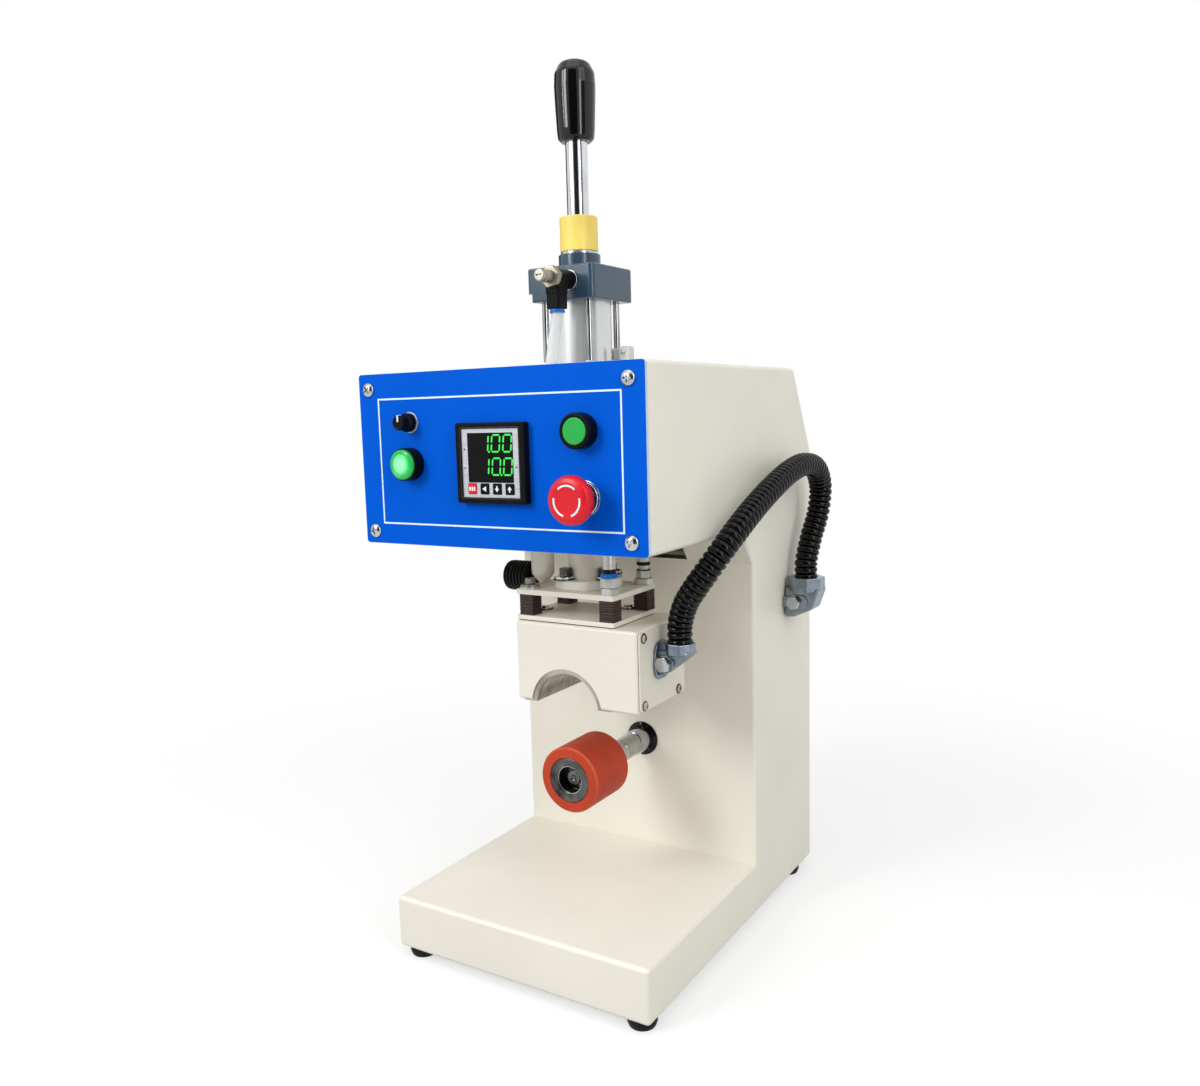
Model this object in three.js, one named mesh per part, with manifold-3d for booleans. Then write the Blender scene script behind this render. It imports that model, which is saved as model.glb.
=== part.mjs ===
// A bench-top hem pressing machine: a painted sheet-metal stand, a panel with its controls,
// an air cylinder that carries a heated press head down onto a rubber-faced roller.
import * as THREE from 'three';
import { mergeVertices } from 'three/addons/utils/BufferGeometryUtils.js';
import Module from 'manifold-3d';

const wasm = await Module();
wasm.setup();

// All sizes are in millimetres. x is 0 at the right side and runs to minus at the left,
// y runs from the front of the base to the back, z runs up from the underside of the base.

// Clearances and shared details
const fit = 0.3;
const slideFit = 0.1;
const overrun = 1;
const weldTolerance = 0.0005;

// How finely round shapes are divided
const largeSides = 24;
const roundSides = 16;
const smallSides = 10;
const screwSides = 6;
const cornerSteps = 2;

// Stand: base box, column and head box, folded from sheet
const sheet = 2.5;
const edgeRadius = 4;
const endBevelShare = 0.75;
const frameWidth = 272;
const baseDepth = 375.5;
const baseHeight = 50;
const baseLip = 38;
const columnDepth = 153.5;
const columnHeight = 302;
const shoulderRise = 33;
const shoulderLean = 25;
const shoulderStrip = 83;
const shoulderTrim = 3;
const headWidth = 300;
const headHeight = 154;
const headFloorDepth = 178;
const headTopDepth = 309;
const backSlopeDrop = 84;
const windowLip = 20;
const backLip = 30;
const backWindowFoot = 25;
const backWindowHeight = 340;

// Rear cover with its louvre slots
const coverPlate = 2;
const coverEdge = 8;
const coverLap = 32;
const coverScrewShare = 0.65;
const slotCount = 8;
const slotWidth = 110;
const slotHeight = 5;
const slotPitch = 13;
const slotDrop = 60;

// Rubber feet, each with a bonded stud
const footRadius = 13;
const footTipRadius = 11;
const footHeight = 8;
const footBevel = 2;
const footLeftInset = 19;
const footRightInset = 14.5;
const footFrontInset = 14;
const footBackInset = 36;
const footStudRadius = 3;
const footStudLength = 9;

// Screws with domed heads
const screwHeadRadius = 6;
const screwHeadHeight = 3.6;
const screwShankRadius = 2.4;
const screwLength = 12;

// Control panel
const panelThickness = 3;
const panelCorner = 3;
const panelScrewLeftInset = 12;
const panelScrewRightInset = 15;
const panelScrewDrop = 14;
const panelScrewLift = 11.5;

// Temperature and time controller
const controllerFromRight = 146.8;
const controllerAboveFloor = 74.2;
const controllerWidth = 72.4;
const controllerHeight = 68.4;
const controllerProud = 8;
const controllerCorner = 2;
const controllerWall = 3.5;
const controllerDepth = 58;
const facePlateWidth = 60.8;
const facePlateHeight = 58.5;
const facePlateRecess = 1.2;
const screenWidth = 48;
const screenHeight = 42;
const screenRise = 4.6;
const screenRecess = 0.6;
const keySide = 9;
const keyPitch = 13.2;
const keyFromLeft = 10.4;
const keyAboveFace = 7.5;
const keyThickness = 3.5;
const keyCorner = 1;
const keyTravel = 0.8;
const keyNames = ['key_set', 'key_left', 'key_down', 'key_up'];

// Dial with its scale disc
const dialFromRight = 240;
const dialAboveFloor = 109.8;
const dialDiscRadius = 9.3;
const dialDiscThickness = 1.2;
const dialFootRadius = 8.5;
const dialTipRadius = 6.8;
const dialLength = 15;
const dialBevel = 1;
const dialPointerWidth = 1.4;
const dialPointerDepth = 0.5;
const potShaftRadius = 3;
const potNeckRadius = 4.6;
const potRadius = 8;
const potDepth = 14;
const potShaftGrip = 9;

// Round panel buttons
const bezelRadius = 14.5;
const bezelBevel = 1.5;
const barrelRadius = 10.8;
const barrelDepth = 21;
const plungerRadius = 6;
const plungerEnd = 5;
const buttonTravel = 3;
const lampFromRight = 240.5;
const lampAboveFloor = 73;
const lampBezelProud = 12;
const lampRadius = 13.2;
const lampProud = 4;
const lampSkirt = 8;
const startFromRight = 58.5;
const startAboveFloor = 100;
const startBezelProud = 12.5;
const startRadius = 10.8;
const startProud = 0.4;
const startSkirt = 7;

// Stop button with a mushroom head
const stopFromRight = 57;
const stopAboveFloor = 46;
const stopProud = 28.5;
const stopHeadRadius = 20;
const stopHeadThickness = 13;
const stopHeadBevel = 4;
const stopDishDrop = 0.8;
const stopNeckRadius = 11;
const stopNeckLength = 5.5;
const stopStemRadius = 8;
const stopCollarRadius = 14.5;
const stopCollarProud = 5.5;
const stopTravel = 4;

// Contact blocks behind the round buttons
const contactWidth = 26;
const contactHeight = 30;
const contactDepth = 22;

// Press centre and travel
const pressFromRight = 126.5;
const pressFromColumn = 96;
const hemGap = 5;

// Air cylinder
const topCapSide = 70;
const footCapSide = 65;
const capNotchWidth = 6;
const capNotchHeight = 8;
const capHeight = 30;
const capCorner = 6;
const neckRadius = 19;
const neckHeight = 12.5;
const neckBevel = 1.2;
const boreRadius = 25;
const tubeRadius = 27.5;
const tubeLength = 180.5;
const rodRadius = 10;
const pistonHeight = 20;
const pistonRise = 130;
const tieRodRadius = 3;
const tieRodSpread = 23.3;
const tieRodInsert = 15;
const tieNutFlats = 10;
const tieNutHeight = 6;

// Stop sleeve on the upper rod, and the grip above it
const washerRadius = 17;
const washerThickness = 2.5;
const sleeveRadius = 17.2;
const sleeveLength = 30.5;
const sleeveBevel = 0.8;
const gripLength = 70;
const gripFootRadius = 17;
const gripTopRadius = 18.5;
const gripFootBevel = 4;
const gripSocket = 45;
const domeSteps = 4;

// Speed control fitting on the front of the cylinder's top cap
const valveAcross = 11.5;
const valveDrop = 13.5;
const valveRingRadius = 8.6;
const valveRingThickness = 2;
const valveBodyRadius = 8;
const valveBodyLength = 23;
const valveLegRadius = 7.6;
const valveLegDrop = 26.5;
const valveLegSetback = 4;
const lockNutFlats = 17;
const lockNutThickness = 7;
const valveScrewRadius = 5.6;
const valveScrewTip = 4.6;
const valveScrewLength = 15;
const valveScrewBevel = 1;
const valveSpindleRadius = 3;
const valveSpindleLength = 14;
const valveSlotWidth = 1.4;
const valveSlotDepth = 1.6;
const ringRadius = 6.8;
const ringThickness = 3;
const portBoreRadius = 5;

// Air tube to the valve inside the head box
const airTubeRadius = 5;
const airTubeSides = 8;
const airTubeSteps = 26;
const airTubeGrip = 8;
const airTubeFit = 0.6;

// Solenoid valve at the back of the head box
const solenoidWidth = 30;
const solenoidDepth = 44;
const solenoidHeight = 42;
const solenoidFromLeft = 78;
const solenoidFoot = 20;
const solenoidGrip = 6;
const inletRadius = 8;
const inletProud = 14;

// Port block beside the cylinder on the head box
const portBlockWidth = 10;
const portBlockDepth = 9;
const portBlockHeight = 18.5;
const portBlockCorner = 3;
const portBlockReach = 38.5;
const portBlockSetback = 6.5;

// Upper and lower plates of the press head, held apart by insulating spacers
const plateDrop = 47;
const plateWidth = 103;
const plateFrontReach = 42;
const plateBackReach = 36;
const plateThickness = 5;
const plateCorner = 1.5;
const spacerSide = 15;
const spacerHeight = 19.4;
const spacerInset = 8;
const studRadius = 4.5;
const studProud = 14;
const studNutFlats = 12;
const studWasherRadius = 8.5;
const studWasherThickness = 2;
const nutFlats = 16;
const nutHeight = 8;
const jamNutHeight = 5;
const lockCollarHeight = 2.6;
const plateBoltFlats = 10;
const plateBoltHeight = 4;
const plateWasherRadius = 7.5;
const plateWasherThickness = 1.4;

// Round flange and boss that hold the cylinder's rod
const flangeRadius = 31.8;
const flangeThickness = 8.5;
const flangeBevel = 1;
const bossRadius = 18.7;
const bossHeight = 26;
const bossBevel = 4;
const flangeBoltCircle = 24.8;
const flangeBoltTurnShare = -1 / 30;
const flangeWasherRadius = 7;
const flangeBoltRadius = 3.5;
const flangeBoltFlats = 12;
const flangeBoltHead = 6;
const flangeBoltTip = 5;
const rodInsert = 30;

// Guide posts at the right corners of the upper plate, and their bushes in the head box floor
const guideRadius = 6;
const guideShoulder = 19;
const guideSpare = 22;
const bushRadius = 9;
const bushFlangeRadius = 12;
const bushFlangeThickness = 4;
const bushHeight = 18;

// Heated press head
const coverHeight = 75;
const coverLeftReach = 53.5;
const coverRightReach = 76;
const coverFrontReach = 45.5;
const coverBackReach = 43.5;
const coverSheet = 1.5;
const coverRadius = 3;
const coverLip = 12;
const coverArchRadius = 38.5;
const archDrop = 4.8;
const mouldRadius = 33.5;
const mouldProud = 1;
const blockHalfWidth = 48;
const blockHeight = 53;
const heaterRadius = 5;
const heaterSpread = 24;
const heaterRise = 11;
const heaterBendShare = 0.28;
const heaterProud = 12;
const heaterSides = 8;
const heaterSteps = 20;
const sideCoverThickness = 2;
const sideCoverEdge = 2;
const sideCoverCorner = 4;
const sideScrewRadius = 3.6;
const sideScrewHead = 2.2;
const sideScrewLength = 7;
const sideScrewInset = 7;
const sideScrewFrontInset = 9.5;
const sideScrewBackInset = 15;

// Roller and its shaft
const rollerAboveBase = 111.5;
const rollerRadius = 31.2;
const rollerLength = 57;
const rollerBevel = 1.5;
const hubRadius = 21.3;
const hubBore = 13.3;
const hubRecess = 14;
const journalRadius = 8.5;
const endWasherRadius = 11.5;
const endWasherThickness = 2;
const rollerGap = 2;
const shaftRadius = 11.6;
const shaftCollarRadius = 12.6;
const shaftCollarLength = 22;
const shaftFlangeRadius = 26;
const shaftFlangeThickness = 8;
const shaftTail = 30;
const shaftScrewRadius = 7;
const shaftScrewHead = 4;
const sealRadius = 17.5;
const sealThickness = 3.5;
const sealBevel = 1;

// Conduit hose and its two clamp elbows
const hoseRadius = 11.5;
const hoseValleyRadius = 10;
const hoseBoreRadius = 8.2;
const hoseRibs = 58;
const hoseSides = 8;
const hoseBoreEvery = 5;
const hoseSocket = 9;
const headElbowReach = 20.5;
const headElbowDepth = -6;
const headElbowHeight = 60.4;
const headElbowRing = 26;
const headElbowBulgeShare = 0.1;
const columnElbowReach = 20;
const columnElbowDepth = 86;
const columnElbowHeight = 278;
const columnElbowRing = 35;
const columnElbowBulgeShare = 0.3;
const elbowRingHeightShare = 0.4;
const elbowBodyHeightShare = 1.18;
const elbowToeShare = 0.3;
const elbowWaistShare = 0.57;
const elbowCornerShare = 0.38;
const elbowWidthShare = 0.68;
const elbowFlangeHeightShare = 1.33;
const elbowFlangeWidthShare = 1.05;
const elbowFlangeThickness = 3;
const elbowEdge = 1;
const elbowPassageRadius = 6.5;
const elbowBoltFlats = 13;
const elbowBoltHead = 7;
const elbowBoltReachShare = 0.28;
const elbowBoltDropShare = 0.78;

// The hose's way between its straight ends: x, y from the column's front face, and z
const hosePoints = [
  [-21, -105.5, 328],
  [-8.5, -111.5, 344.5],
  [4.5, -112, 361.5],
  [15.5, -103.5, 380],
  [21.5, -83, 397],
  [24, -53.5, 412],
  [26, -17.5, 426.5],
  [27, 23, 438.5],
  [28, 59, 443.5],
  [29, 88.5, 438],
  [28, 106, 419],
  [25.5, 106, 392],
  [22, 95, 367],
];

// The air tube's way from the fitting through the head box top to the valve, as the hose's
const airTubePoints = [
  [-119, -153, 563],
  [-124, -153, 537],
  [-134, -152, 522],
  [-160, -144, 514],
  [-182, -126, 506],
  [-192, -92, 494],
  [-196, -47, 474],
  [-200, 3, 448],
  [-206, 46, 428],
];
const tubeHoleSteps = 1;

// Pressure regulator under the head box
const regulatorAcross = 46.5;
const regulatorSetback = 8;
const regulatorRadius = 11;
const regulatorLength = 45.3;
const regulatorKnobRadius = 14.1;
const regulatorKnobDrop = 40.5;
const regulatorKnobLength = 26;
const regulatorKnobGap = 1.5;
const regulatorShaftRadius = 4;
const regulatorShaftGrip = 9;
const regulatorRibs = 6;
const regulatorRibDepth = 1.4;

// Mains inlet in the rear cover
const inletWidth = 50;
const inletHeight = 28;
const inletFlange = 4;
const inletBodyDepth = 26;
const inletAcross = 70;
const inletAboveBase = 60;
const inletMouthWidth = 26;
const inletMouthHeight = 18;
const inletMouthDepth = 16;

// Places worked out from the sizes above
const bevel = edgeRadius * endBevelShare;
const columnFront = baseDepth - columnDepth;
const shoulderZ = baseHeight + columnHeight;
const headFloorZ = shoulderZ + shoulderRise;
const headTopZ = headFloorZ + headHeight;
const headFront = columnFront - shoulderLean - headFloorDepth;
const panelFront = headFront - panelThickness;
const floorTopZ = headFloorZ + sheet;
const pressX = -pressFromRight;
const pressDepth = columnFront - pressFromColumn;
const capTopZ = floorTopZ + capHeight;
const tubeTopZ = capTopZ + tubeLength;
const topCapTopZ = tubeTopZ + capHeight;
const neckTopZ = topCapTopZ + neckHeight;
const sleeveFootZ = neckTopZ + washerThickness;
const sleeveTopZ = sleeveFootZ + sleeveLength;
const plateTopZ = headFloorZ - plateDrop;
const plateFootZ = plateTopZ - plateThickness;
const lowerPlateTopZ = plateFootZ - spacerHeight;
const coverTopZ = lowerPlateTopZ - plateThickness;
const coverFootZ = coverTopZ - coverHeight;
const archZ = coverFootZ - archDrop;
const rollerZ = baseHeight + rollerAboveBase;
const rollerFront = pressDepth - coverFrontReach + coverSheet;
const rollerBack = rollerFront + rollerLength;
const pressTravel = archZ + mouldRadius - (rollerZ + rollerRadius) - hemGap;
const gripFootZ = sleeveTopZ + pressTravel + fit;
const coverLeft = pressX - coverLeftReach;
const coverRight = pressX + coverRightReach;
const coverFront = pressDepth - coverFrontReach;
const coverBack = pressDepth + coverBackReach;
const studX = plateWidth / 2 - spacerInset;
const studFront = pressDepth - plateFrontReach + spacerInset;
const studBack = pressDepth + plateBackReach - spacerInset;
const onAxis = [pressX, pressDepth, 0];
const hexCornerShare = 1 / Math.cos(Math.PI / 6);

// Shape helpers

// position-only copy whose shared corners are one, with no collapsed triangle, faces out
function closed(geometry) {
  const bare = new THREE.BufferGeometry();
  bare.setAttribute('position', geometry.getAttribute('position').clone());
  bare.setIndex(geometry.index ? geometry.index.clone() : null);
  const merged = mergeVertices(bare, weldTolerance);
  const kept = [];
  const old = merged.index.array;
  for (let i = 0; i < old.length; i += 3) {
    const [a, b, c] = [old[i], old[i + 1], old[i + 2]];
    if (a !== b && b !== c && a !== c) kept.push(a, b, c);
  }
  const turned = volumeOf(merged, kept) < 0;
  for (let i = 0; turned && i < kept.length; i += 3) {
    [kept[i + 1], kept[i + 2]] = [kept[i + 2], kept[i + 1]];
  }
  merged.setIndex(kept);
  return merged;
}

// six times the volume that the triangles enclose, below zero if they face in
function volumeOf(geometry, triangles) {
  const position = geometry.getAttribute('position');
  const [a, b, c] = [new THREE.Vector3(), new THREE.Vector3(), new THREE.Vector3()];
  let total = 0;
  for (let i = 0; i < triangles.length; i += 3) {
    a.fromBufferAttribute(position, triangles[i]);
    b.fromBufferAttribute(position, triangles[i + 1]);
    c.fromBufferAttribute(position, triangles[i + 2]);
    total += a.dot(b.cross(c));
  }
  return total;
}

function toSolid(geometry) {
  const shape = closed(geometry);
  return new wasm.Manifold(new wasm.Mesh({
    numProp: 3,
    vertProperties: Float32Array.from(shape.getAttribute('position').array),
    triVerts: Uint32Array.from(shape.index.array),
  }));
}

function toGeometry(solid) {
  const mesh = solid.getMesh();
  const geometry = new THREE.BufferGeometry();
  geometry.setAttribute('position', new THREE.BufferAttribute(mesh.vertProperties, 3));
  geometry.setIndex(new THREE.BufferAttribute(mesh.triVerts, 1));
  return geometry;
}

function join(...shapes) {
  return toGeometry(shapes.map(toSolid).reduce((all, next) => all.add(next)));
}

function cut(shape, ...tools) {
  return toGeometry(tools.map(toSolid).reduce((left, tool) => left.subtract(tool), toSolid(shape)));
}

function common(shape, other) {
  return toGeometry(toSolid(shape).intersect(toSolid(other)));
}

// a block from its two ends along each axis
function block([x0, x1], [y0, y1], [z0, z1]) {
  const geometry = new THREE.BoxGeometry(x1 - x0, y1 - y0, z1 - z0);
  return geometry.translate((x0 + x1) / 2, (y0 + y1) / 2, (z0 + z1) / 2);
}

// a pair of ends, the same reach on both sides of a centre
function around(centre, reach) {
  return [centre - reach, centre + reach];
}

// a round piece about the given axis through the given point; the profile is [radius, place]
function turn(profile, axis, [x, y, z], sides = roundSides) {
  const points = profile.map(([radius, along]) => new THREE.Vector2(radius, along));
  const geometry = new THREE.LatheGeometry(points, sides);
  if (axis === 'x') geometry.rotateZ(-Math.PI / 2);
  if (axis === 'z') geometry.rotateX(Math.PI / 2);
  return geometry.translate(x, y, z);
}

// profile of a plain rod between two places
function rod(radius, from, to) {
  return [[0, from], [radius, from], [radius, to], [0, to]];
}

// profile of a plain tube between two places
function tube(inner, outer, from, to) {
  return [[inner, from], [outer, from], [outer, to], [inner, to], [inner, from]];
}

// a hexagon bar along an axis, between two places
function hexBar(flats, from, to, axis, [x, y, z]) {
  const length = to - from;
  const radius = flats / 2 * hexCornerShare;
  const geometry = new THREE.CylinderGeometry(radius, radius, length, 6);
  geometry.translate(0, from + length / 2, 0);
  if (axis === 'x') geometry.rotateZ(-Math.PI / 2);
  if (axis === 'z') geometry.rotateX(Math.PI / 2);
  return geometry.translate(x, y, z);
}

// an outline through the given points with its corners rounded
function roundedOutline(points, radius) {
  return new THREE.Shape(points.flatMap((point, i) => {
    const here = new THREE.Vector2(...point);
    const back = new THREE.Vector2(...points.at(i - 1)).sub(here).normalize();
    const ahead = new THREE.Vector2(...points[(i + 1) % points.length]).sub(here).normalize();
    const half = Math.acos(back.dot(ahead)) / 2;
    const centre = back.clone().add(ahead).setLength(radius / Math.sin(half)).add(here);
    const start = back.clone().setLength(radius / Math.tan(half)).add(here);
    const sweep = (Math.PI - 2 * half) * Math.sign(ahead.cross(back));
    return [...Array(cornerSteps + 1).keys()].map((step) => (
      start.clone().rotateAround(centre, sweep * step / cornerSteps)));
  }));
}

function rectangle([x0, x1], [y0, y1]) {
  return [[x0, y0], [x1, y0], [x1, y1], [x0, y1]];
}

const facing = {
  x: new THREE.Matrix4().makeBasis(
    new THREE.Vector3(0, 1, 0), new THREE.Vector3(0, 0, 1), new THREE.Vector3(1, 0, 0)),
  y: new THREE.Matrix4().makeBasis(
    new THREE.Vector3(1, 0, 0), new THREE.Vector3(0, 0, 1), new THREE.Vector3(0, -1, 0)),
  z: new THREE.Matrix4(),
};

// an outline drawn square to an axis and given a thickness along it; edge rounds its two rims
function slab(points, radius, axis, [from, to], edge = 0) {
  const geometry = new THREE.ExtrudeGeometry(roundedOutline(points, radius), {
    depth: to - from - 2 * edge,
    bevelEnabled: edge > 0,
    bevelThickness: edge,
    bevelSize: edge,
    bevelOffset: -edge,
    bevelSegments: cornerSteps,
  });
  const place = new THREE.Vector3();
  place[axis] = axis === 'y' ? to - edge : from + edge;
  return geometry.applyMatrix4(facing[axis]).translate(place.x, place.y, place.z);
}

// a tube along a curve, with a round section
function pipe(points, radius, sides, steps) {
  const section = new THREE.Shape();
  for (let i = 0; i < sides; i += 1) {
    const angle = 2 * Math.PI * i / sides;
    const [x, y] = [radius * Math.cos(angle), radius * Math.sin(angle)];
    if (i === 0) section.moveTo(x, y);
    else section.lineTo(x, y);
  }
  section.closePath();
  const path = new THREE.CatmullRomCurve3(points.map((point) => new THREE.Vector3(...point)));
  return new THREE.ExtrudeGeometry(section, { steps, extrudePath: path, bevelEnabled: false });
}

// a screw with a domed head, its seat at the given point and its head on the side of the sign
function screw(axis, sign, [x, y, z], headRadius, headHeight, shankRadius, length) {
  const crown = headHeight * sign;
  const profile = [
    [0, crown],
    [headRadius * 5 / 8, crown * 6 / 7],
    [headRadius, 0],
    [shankRadius, 0],
    [shankRadius, -length * sign],
    [0, -length * sign],
  ];
  return turn(profile, axis, [x, y, z], screwSides);
}

function panScrew(sign, place) {
  return screw('y', sign, place, screwHeadRadius, screwHeadHeight, screwShankRadius, screwLength);
}

// Finishes

function finish(color, roughness, metalness) {
  return new THREE.MeshStandardMaterial({ color, roughness, metalness });
}

const creamPaint = () => finish(0xece7d8, 0.45, 0);
const bluePaint = () => finish(0x0a5bd8, 0.4, 0);
const blackPlastic = () => finish(0x17181a, 0.4, 0);
const blackRubber = () => finish(0x141414, 0.8, 0);
const brightSteel = () => finish(0xc4c6c8, 0.25, 1);
const darkSteel = () => finish(0x4a4c4e, 0.4, 1);
const zincCasting = () => finish(0x8e9aa3, 0.35, 1);
const slatePaint = () => finish(0x3c5062, 0.4, 0.2);
const brushedTube = () => finish(0xb9bcbf, 0.35, 1);
const siliconeRubber = () => finish(0xc44a2c, 0.6, 0);
const yellowPlastic = () => finish(0xf6d96a, 0.5, 0);
const brownLaminate = () => finish(0x3a2722, 0.7, 0);
const greenPlastic = () => finish(0x2bb24c, 0.4, 0);
const litGreen = () => finish(0x38e86a, 0.3, 0);
const redPlastic = () => finish(0xd8202c, 0.35, 0);
const silverFoil = () => finish(0xc9cbd0, 0.4, 0.3);
const clearTube = () => finish(0xdfe3e6, 0.3, 0);

const machine = new THREE.Group();

function add(name, geometry, material) {
  const mesh = new THREE.Mesh(closed(geometry), material);
  mesh.name = name;
  machine.add(mesh);
  return geometry;
}

// The stand

const frameEnds = [-frameWidth, 0];
const headEnds = [-headWidth, 0];

const standProfiles = {
  base: rectangle([0, baseDepth], [0, baseHeight]),
  column: rectangle([columnFront, baseDepth], [baseHeight / 2, floorTopZ + edgeRadius]),
  head: [
    [headFront, headFloorZ],
    [baseDepth, headFloorZ],
    [baseDepth, headTopZ - backSlopeDrop],
    [headFront + headTopDepth, headTopZ],
    [headFront, headTopZ],
  ],
};

function columnOutside() {
  return join(
    slab(standProfiles.column, edgeRadius, 'x', frameEnds, bevel),
    shoulderWedge(frameEnds, 0, bevel),
  );
}

// the part of the column that leans forward under the head box; inset moves its slope inwards
function shoulderWedge(ends, inset, rim) {
  const lean = columnFront - shoulderLean;
  const rise = inset * Math.hypot(columnFront - lean, shoulderRise) / (columnFront - lean);
  const slope = (columnFront - lean) / shoulderRise;
  const topZ = floorTopZ + edgeRadius * 2;
  const footZ = shoulderZ - edgeRadius * 2 + rise;
  const at = (z) => columnFront - (z - shoulderZ - rise) * slope;
  const points = [
    [at(footZ), footZ],
    [columnFront + columnDepth / 2, footZ],
    [columnFront + columnDepth / 2, topZ],
    [at(topZ), topZ],
  ];
  return slab(points, edgeRadius, 'x', ends, rim);
}

function standInside() {
  const inner = sheet;
  const ends = [-frameWidth + inner, -inner];
  return [
    block(ends, [inner, baseDepth - inner], [inner, baseHeight - inner]),
    block(ends, [columnFront + inner, baseDepth - inner], [baseHeight, floorTopZ + edgeRadius * 3]),
    shoulderWedge(ends, inner, 0),
    slab([
      [headFront + inner, floorTopZ],
      [baseDepth - inner, floorTopZ],
      [baseDepth - inner, headTopZ - backSlopeDrop],
      [headFront + headTopDepth - inner / 2, headTopZ - inner],
      [headFront + inner, headTopZ - inner],
    ], inner / 4, 'x', [-headWidth + inner, -inner]),
  ];
}

function standWindows() {
  const backEdge = [baseDepth - sheet - overrun, baseDepth + overrun];
  const shoulderFront = columnFront - shoulderLean + shoulderTrim / 2;
  return [
    block([-frameWidth + baseLip, -baseLip], [baseLip, baseDepth - baseLip], [-overrun, sheet + overrun]),
    block([-frameWidth + backLip, -backLip], backEdge,
      [baseHeight + backWindowFoot, baseHeight + backWindowFoot + backWindowHeight]),
    block([-frameWidth + shoulderStrip, -shoulderStrip], [shoulderFront, columnFront + sheet * 2],
      [shoulderZ + shoulderTrim, headFloorZ - shoulderTrim / 2]),
    block([-headWidth + windowLip, -windowLip], [headFront - overrun, headFront + sheet + overrun],
      [headFloorZ + windowLip, headTopZ - windowLip]),
  ];
}

// holes that other pieces pass through, from those pieces' own sizes
function standHoles() {
  const holes = [];
  const hole = (radius, axis, place, from, to, sides = smallSides) => {
    holes.push(turn(rod(radius, from, to), axis, place, sides));
  };
  const floor = [headFloorZ - overrun, floorTopZ + overrun];
  hole(rodRadius + fit, 'z', onAxis, ...floor, roundSides);
  for (const side of guidePlaces()) {
    hole(bushRadius, 'z', [...side, 0], ...floor);
  }
  const top = [headTopZ - sheet - overrun, headTopZ + overrun];
  hole(tubeRadius + fit, 'z', onAxis, ...top, largeSides);
  for (const place of tieRodPlaces()) {
    hole(tieRodRadius + fit, 'z', [...place, 0], ...top);
  }
  const [tubeX, tubeY] = fromColumn(airTubePoints[tubeHoleSteps]);
  hole(airTubeRadius * 2, 'z', [tubeX, tubeY, 0], ...top);
  hole(shaftCollarRadius + fit, 'y', [pressX, 0, rollerZ], columnFront - overrun,
    columnFront + sheet + overrun, roundSides);
  hole(elbowPassageRadius, 'x', [0, columnFront + columnElbowDepth, elbowPassageZ(columnElbow)],
    -sheet - overrun, overrun);
  for (const [x, z] of panelScrewPlaces()) {
    hole(screwShankRadius + fit, 'y', [x, 0, z], headFront - overrun, headFront + sheet + overrun,
      screwSides);
  }
  for (const [x, z] of rearScrewPlaces()) {
    hole(screwShankRadius + fit, 'y', [x, 0, z], baseDepth - sheet - overrun, baseDepth + overrun,
      screwSides);
  }
  const [solenoidX, solenoidZ] = solenoidInlet();
  hole(inletRadius + fit, 'y', [solenoidX, 0, solenoidZ], baseDepth - sheet - overrun,
    baseDepth + overrun);
  for (const [x, y] of footPlaces()) {
    hole(footStudRadius + fit, 'z', [x, y, 0], -overrun, sheet + overrun);
  }
  return holes;
}

function buildStand() {
  const hollows = [...standInside(), ...standWindows(), ...standHoles()];
  const wide = [-Math.max(headWidth, frameWidth) - overrun, overrun];
  const deep = [-overrun, baseDepth + overrun];
  const below = block(wide, deep, [-overrun, baseHeight]);
  const above = block(wide, deep, [headFloorZ, headTopZ + overrun]);
  const base = slab(standProfiles.base, edgeRadius, 'x', frameEnds, bevel);
  const head = slab(standProfiles.head, edgeRadius, 'x', headEnds, bevel);
  const column = columnOutside();
  add('base_box', cut(join(base, common(column, below)), ...hollows), creamPaint());
  add('column', cut(column, below, above, ...hollows), creamPaint());
  add('head_box', join(cut(join(head, common(column, above)), ...hollows),
    ...guidePlaces().map(guideBush)), creamPaint());
}

// a place that is given from the column's front face, in the machine's own axes
function fromColumn([x, y, z]) {
  return [x, y + columnFront, z];
}

function tieRodPlaces() {
  return [[-1, -1], [1, -1], [1, 1], [-1, 1]].map(([across, deep]) => [
    pressX + across * tieRodSpread,
    pressDepth + deep * tieRodSpread,
  ]);
}

// the two right-hand corners of the upper plate
function guidePlaces() {
  return [studFront, studBack].map((y) => [pressX + studX, y]);
}

function panelScrewPlaces() {
  const [left, right] = [-headWidth + panelScrewLeftInset, -panelScrewRightInset];
  const [low, high] = [headFloorZ + panelScrewLift, headTopZ - panelScrewDrop];
  return [[left, low], [right, low], [right, high], [left, high]];
}

function rearScrewPlaces() {
  const [left, right] = [-frameWidth + backLip / 2 + coverEdge / 2, -backLip / 2 - coverEdge / 2];
  const low = baseHeight + backWindowFoot / 2 + coverEdge / 2;
  const high = baseHeight + backWindowFoot + backWindowHeight + coverLap * coverScrewShare;
  const middle = (low + high) / 2;
  return [low, middle, high].flatMap((z) => [[left, z], [right, z]]);
}

function footPlaces() {
  const [left, right] = [-frameWidth + footLeftInset, -footRightInset];
  const [front, back] = [footFrontInset, baseDepth - footBackInset];
  return [[left, front], [right, front], [right, back], [left, back]];
}

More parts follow.
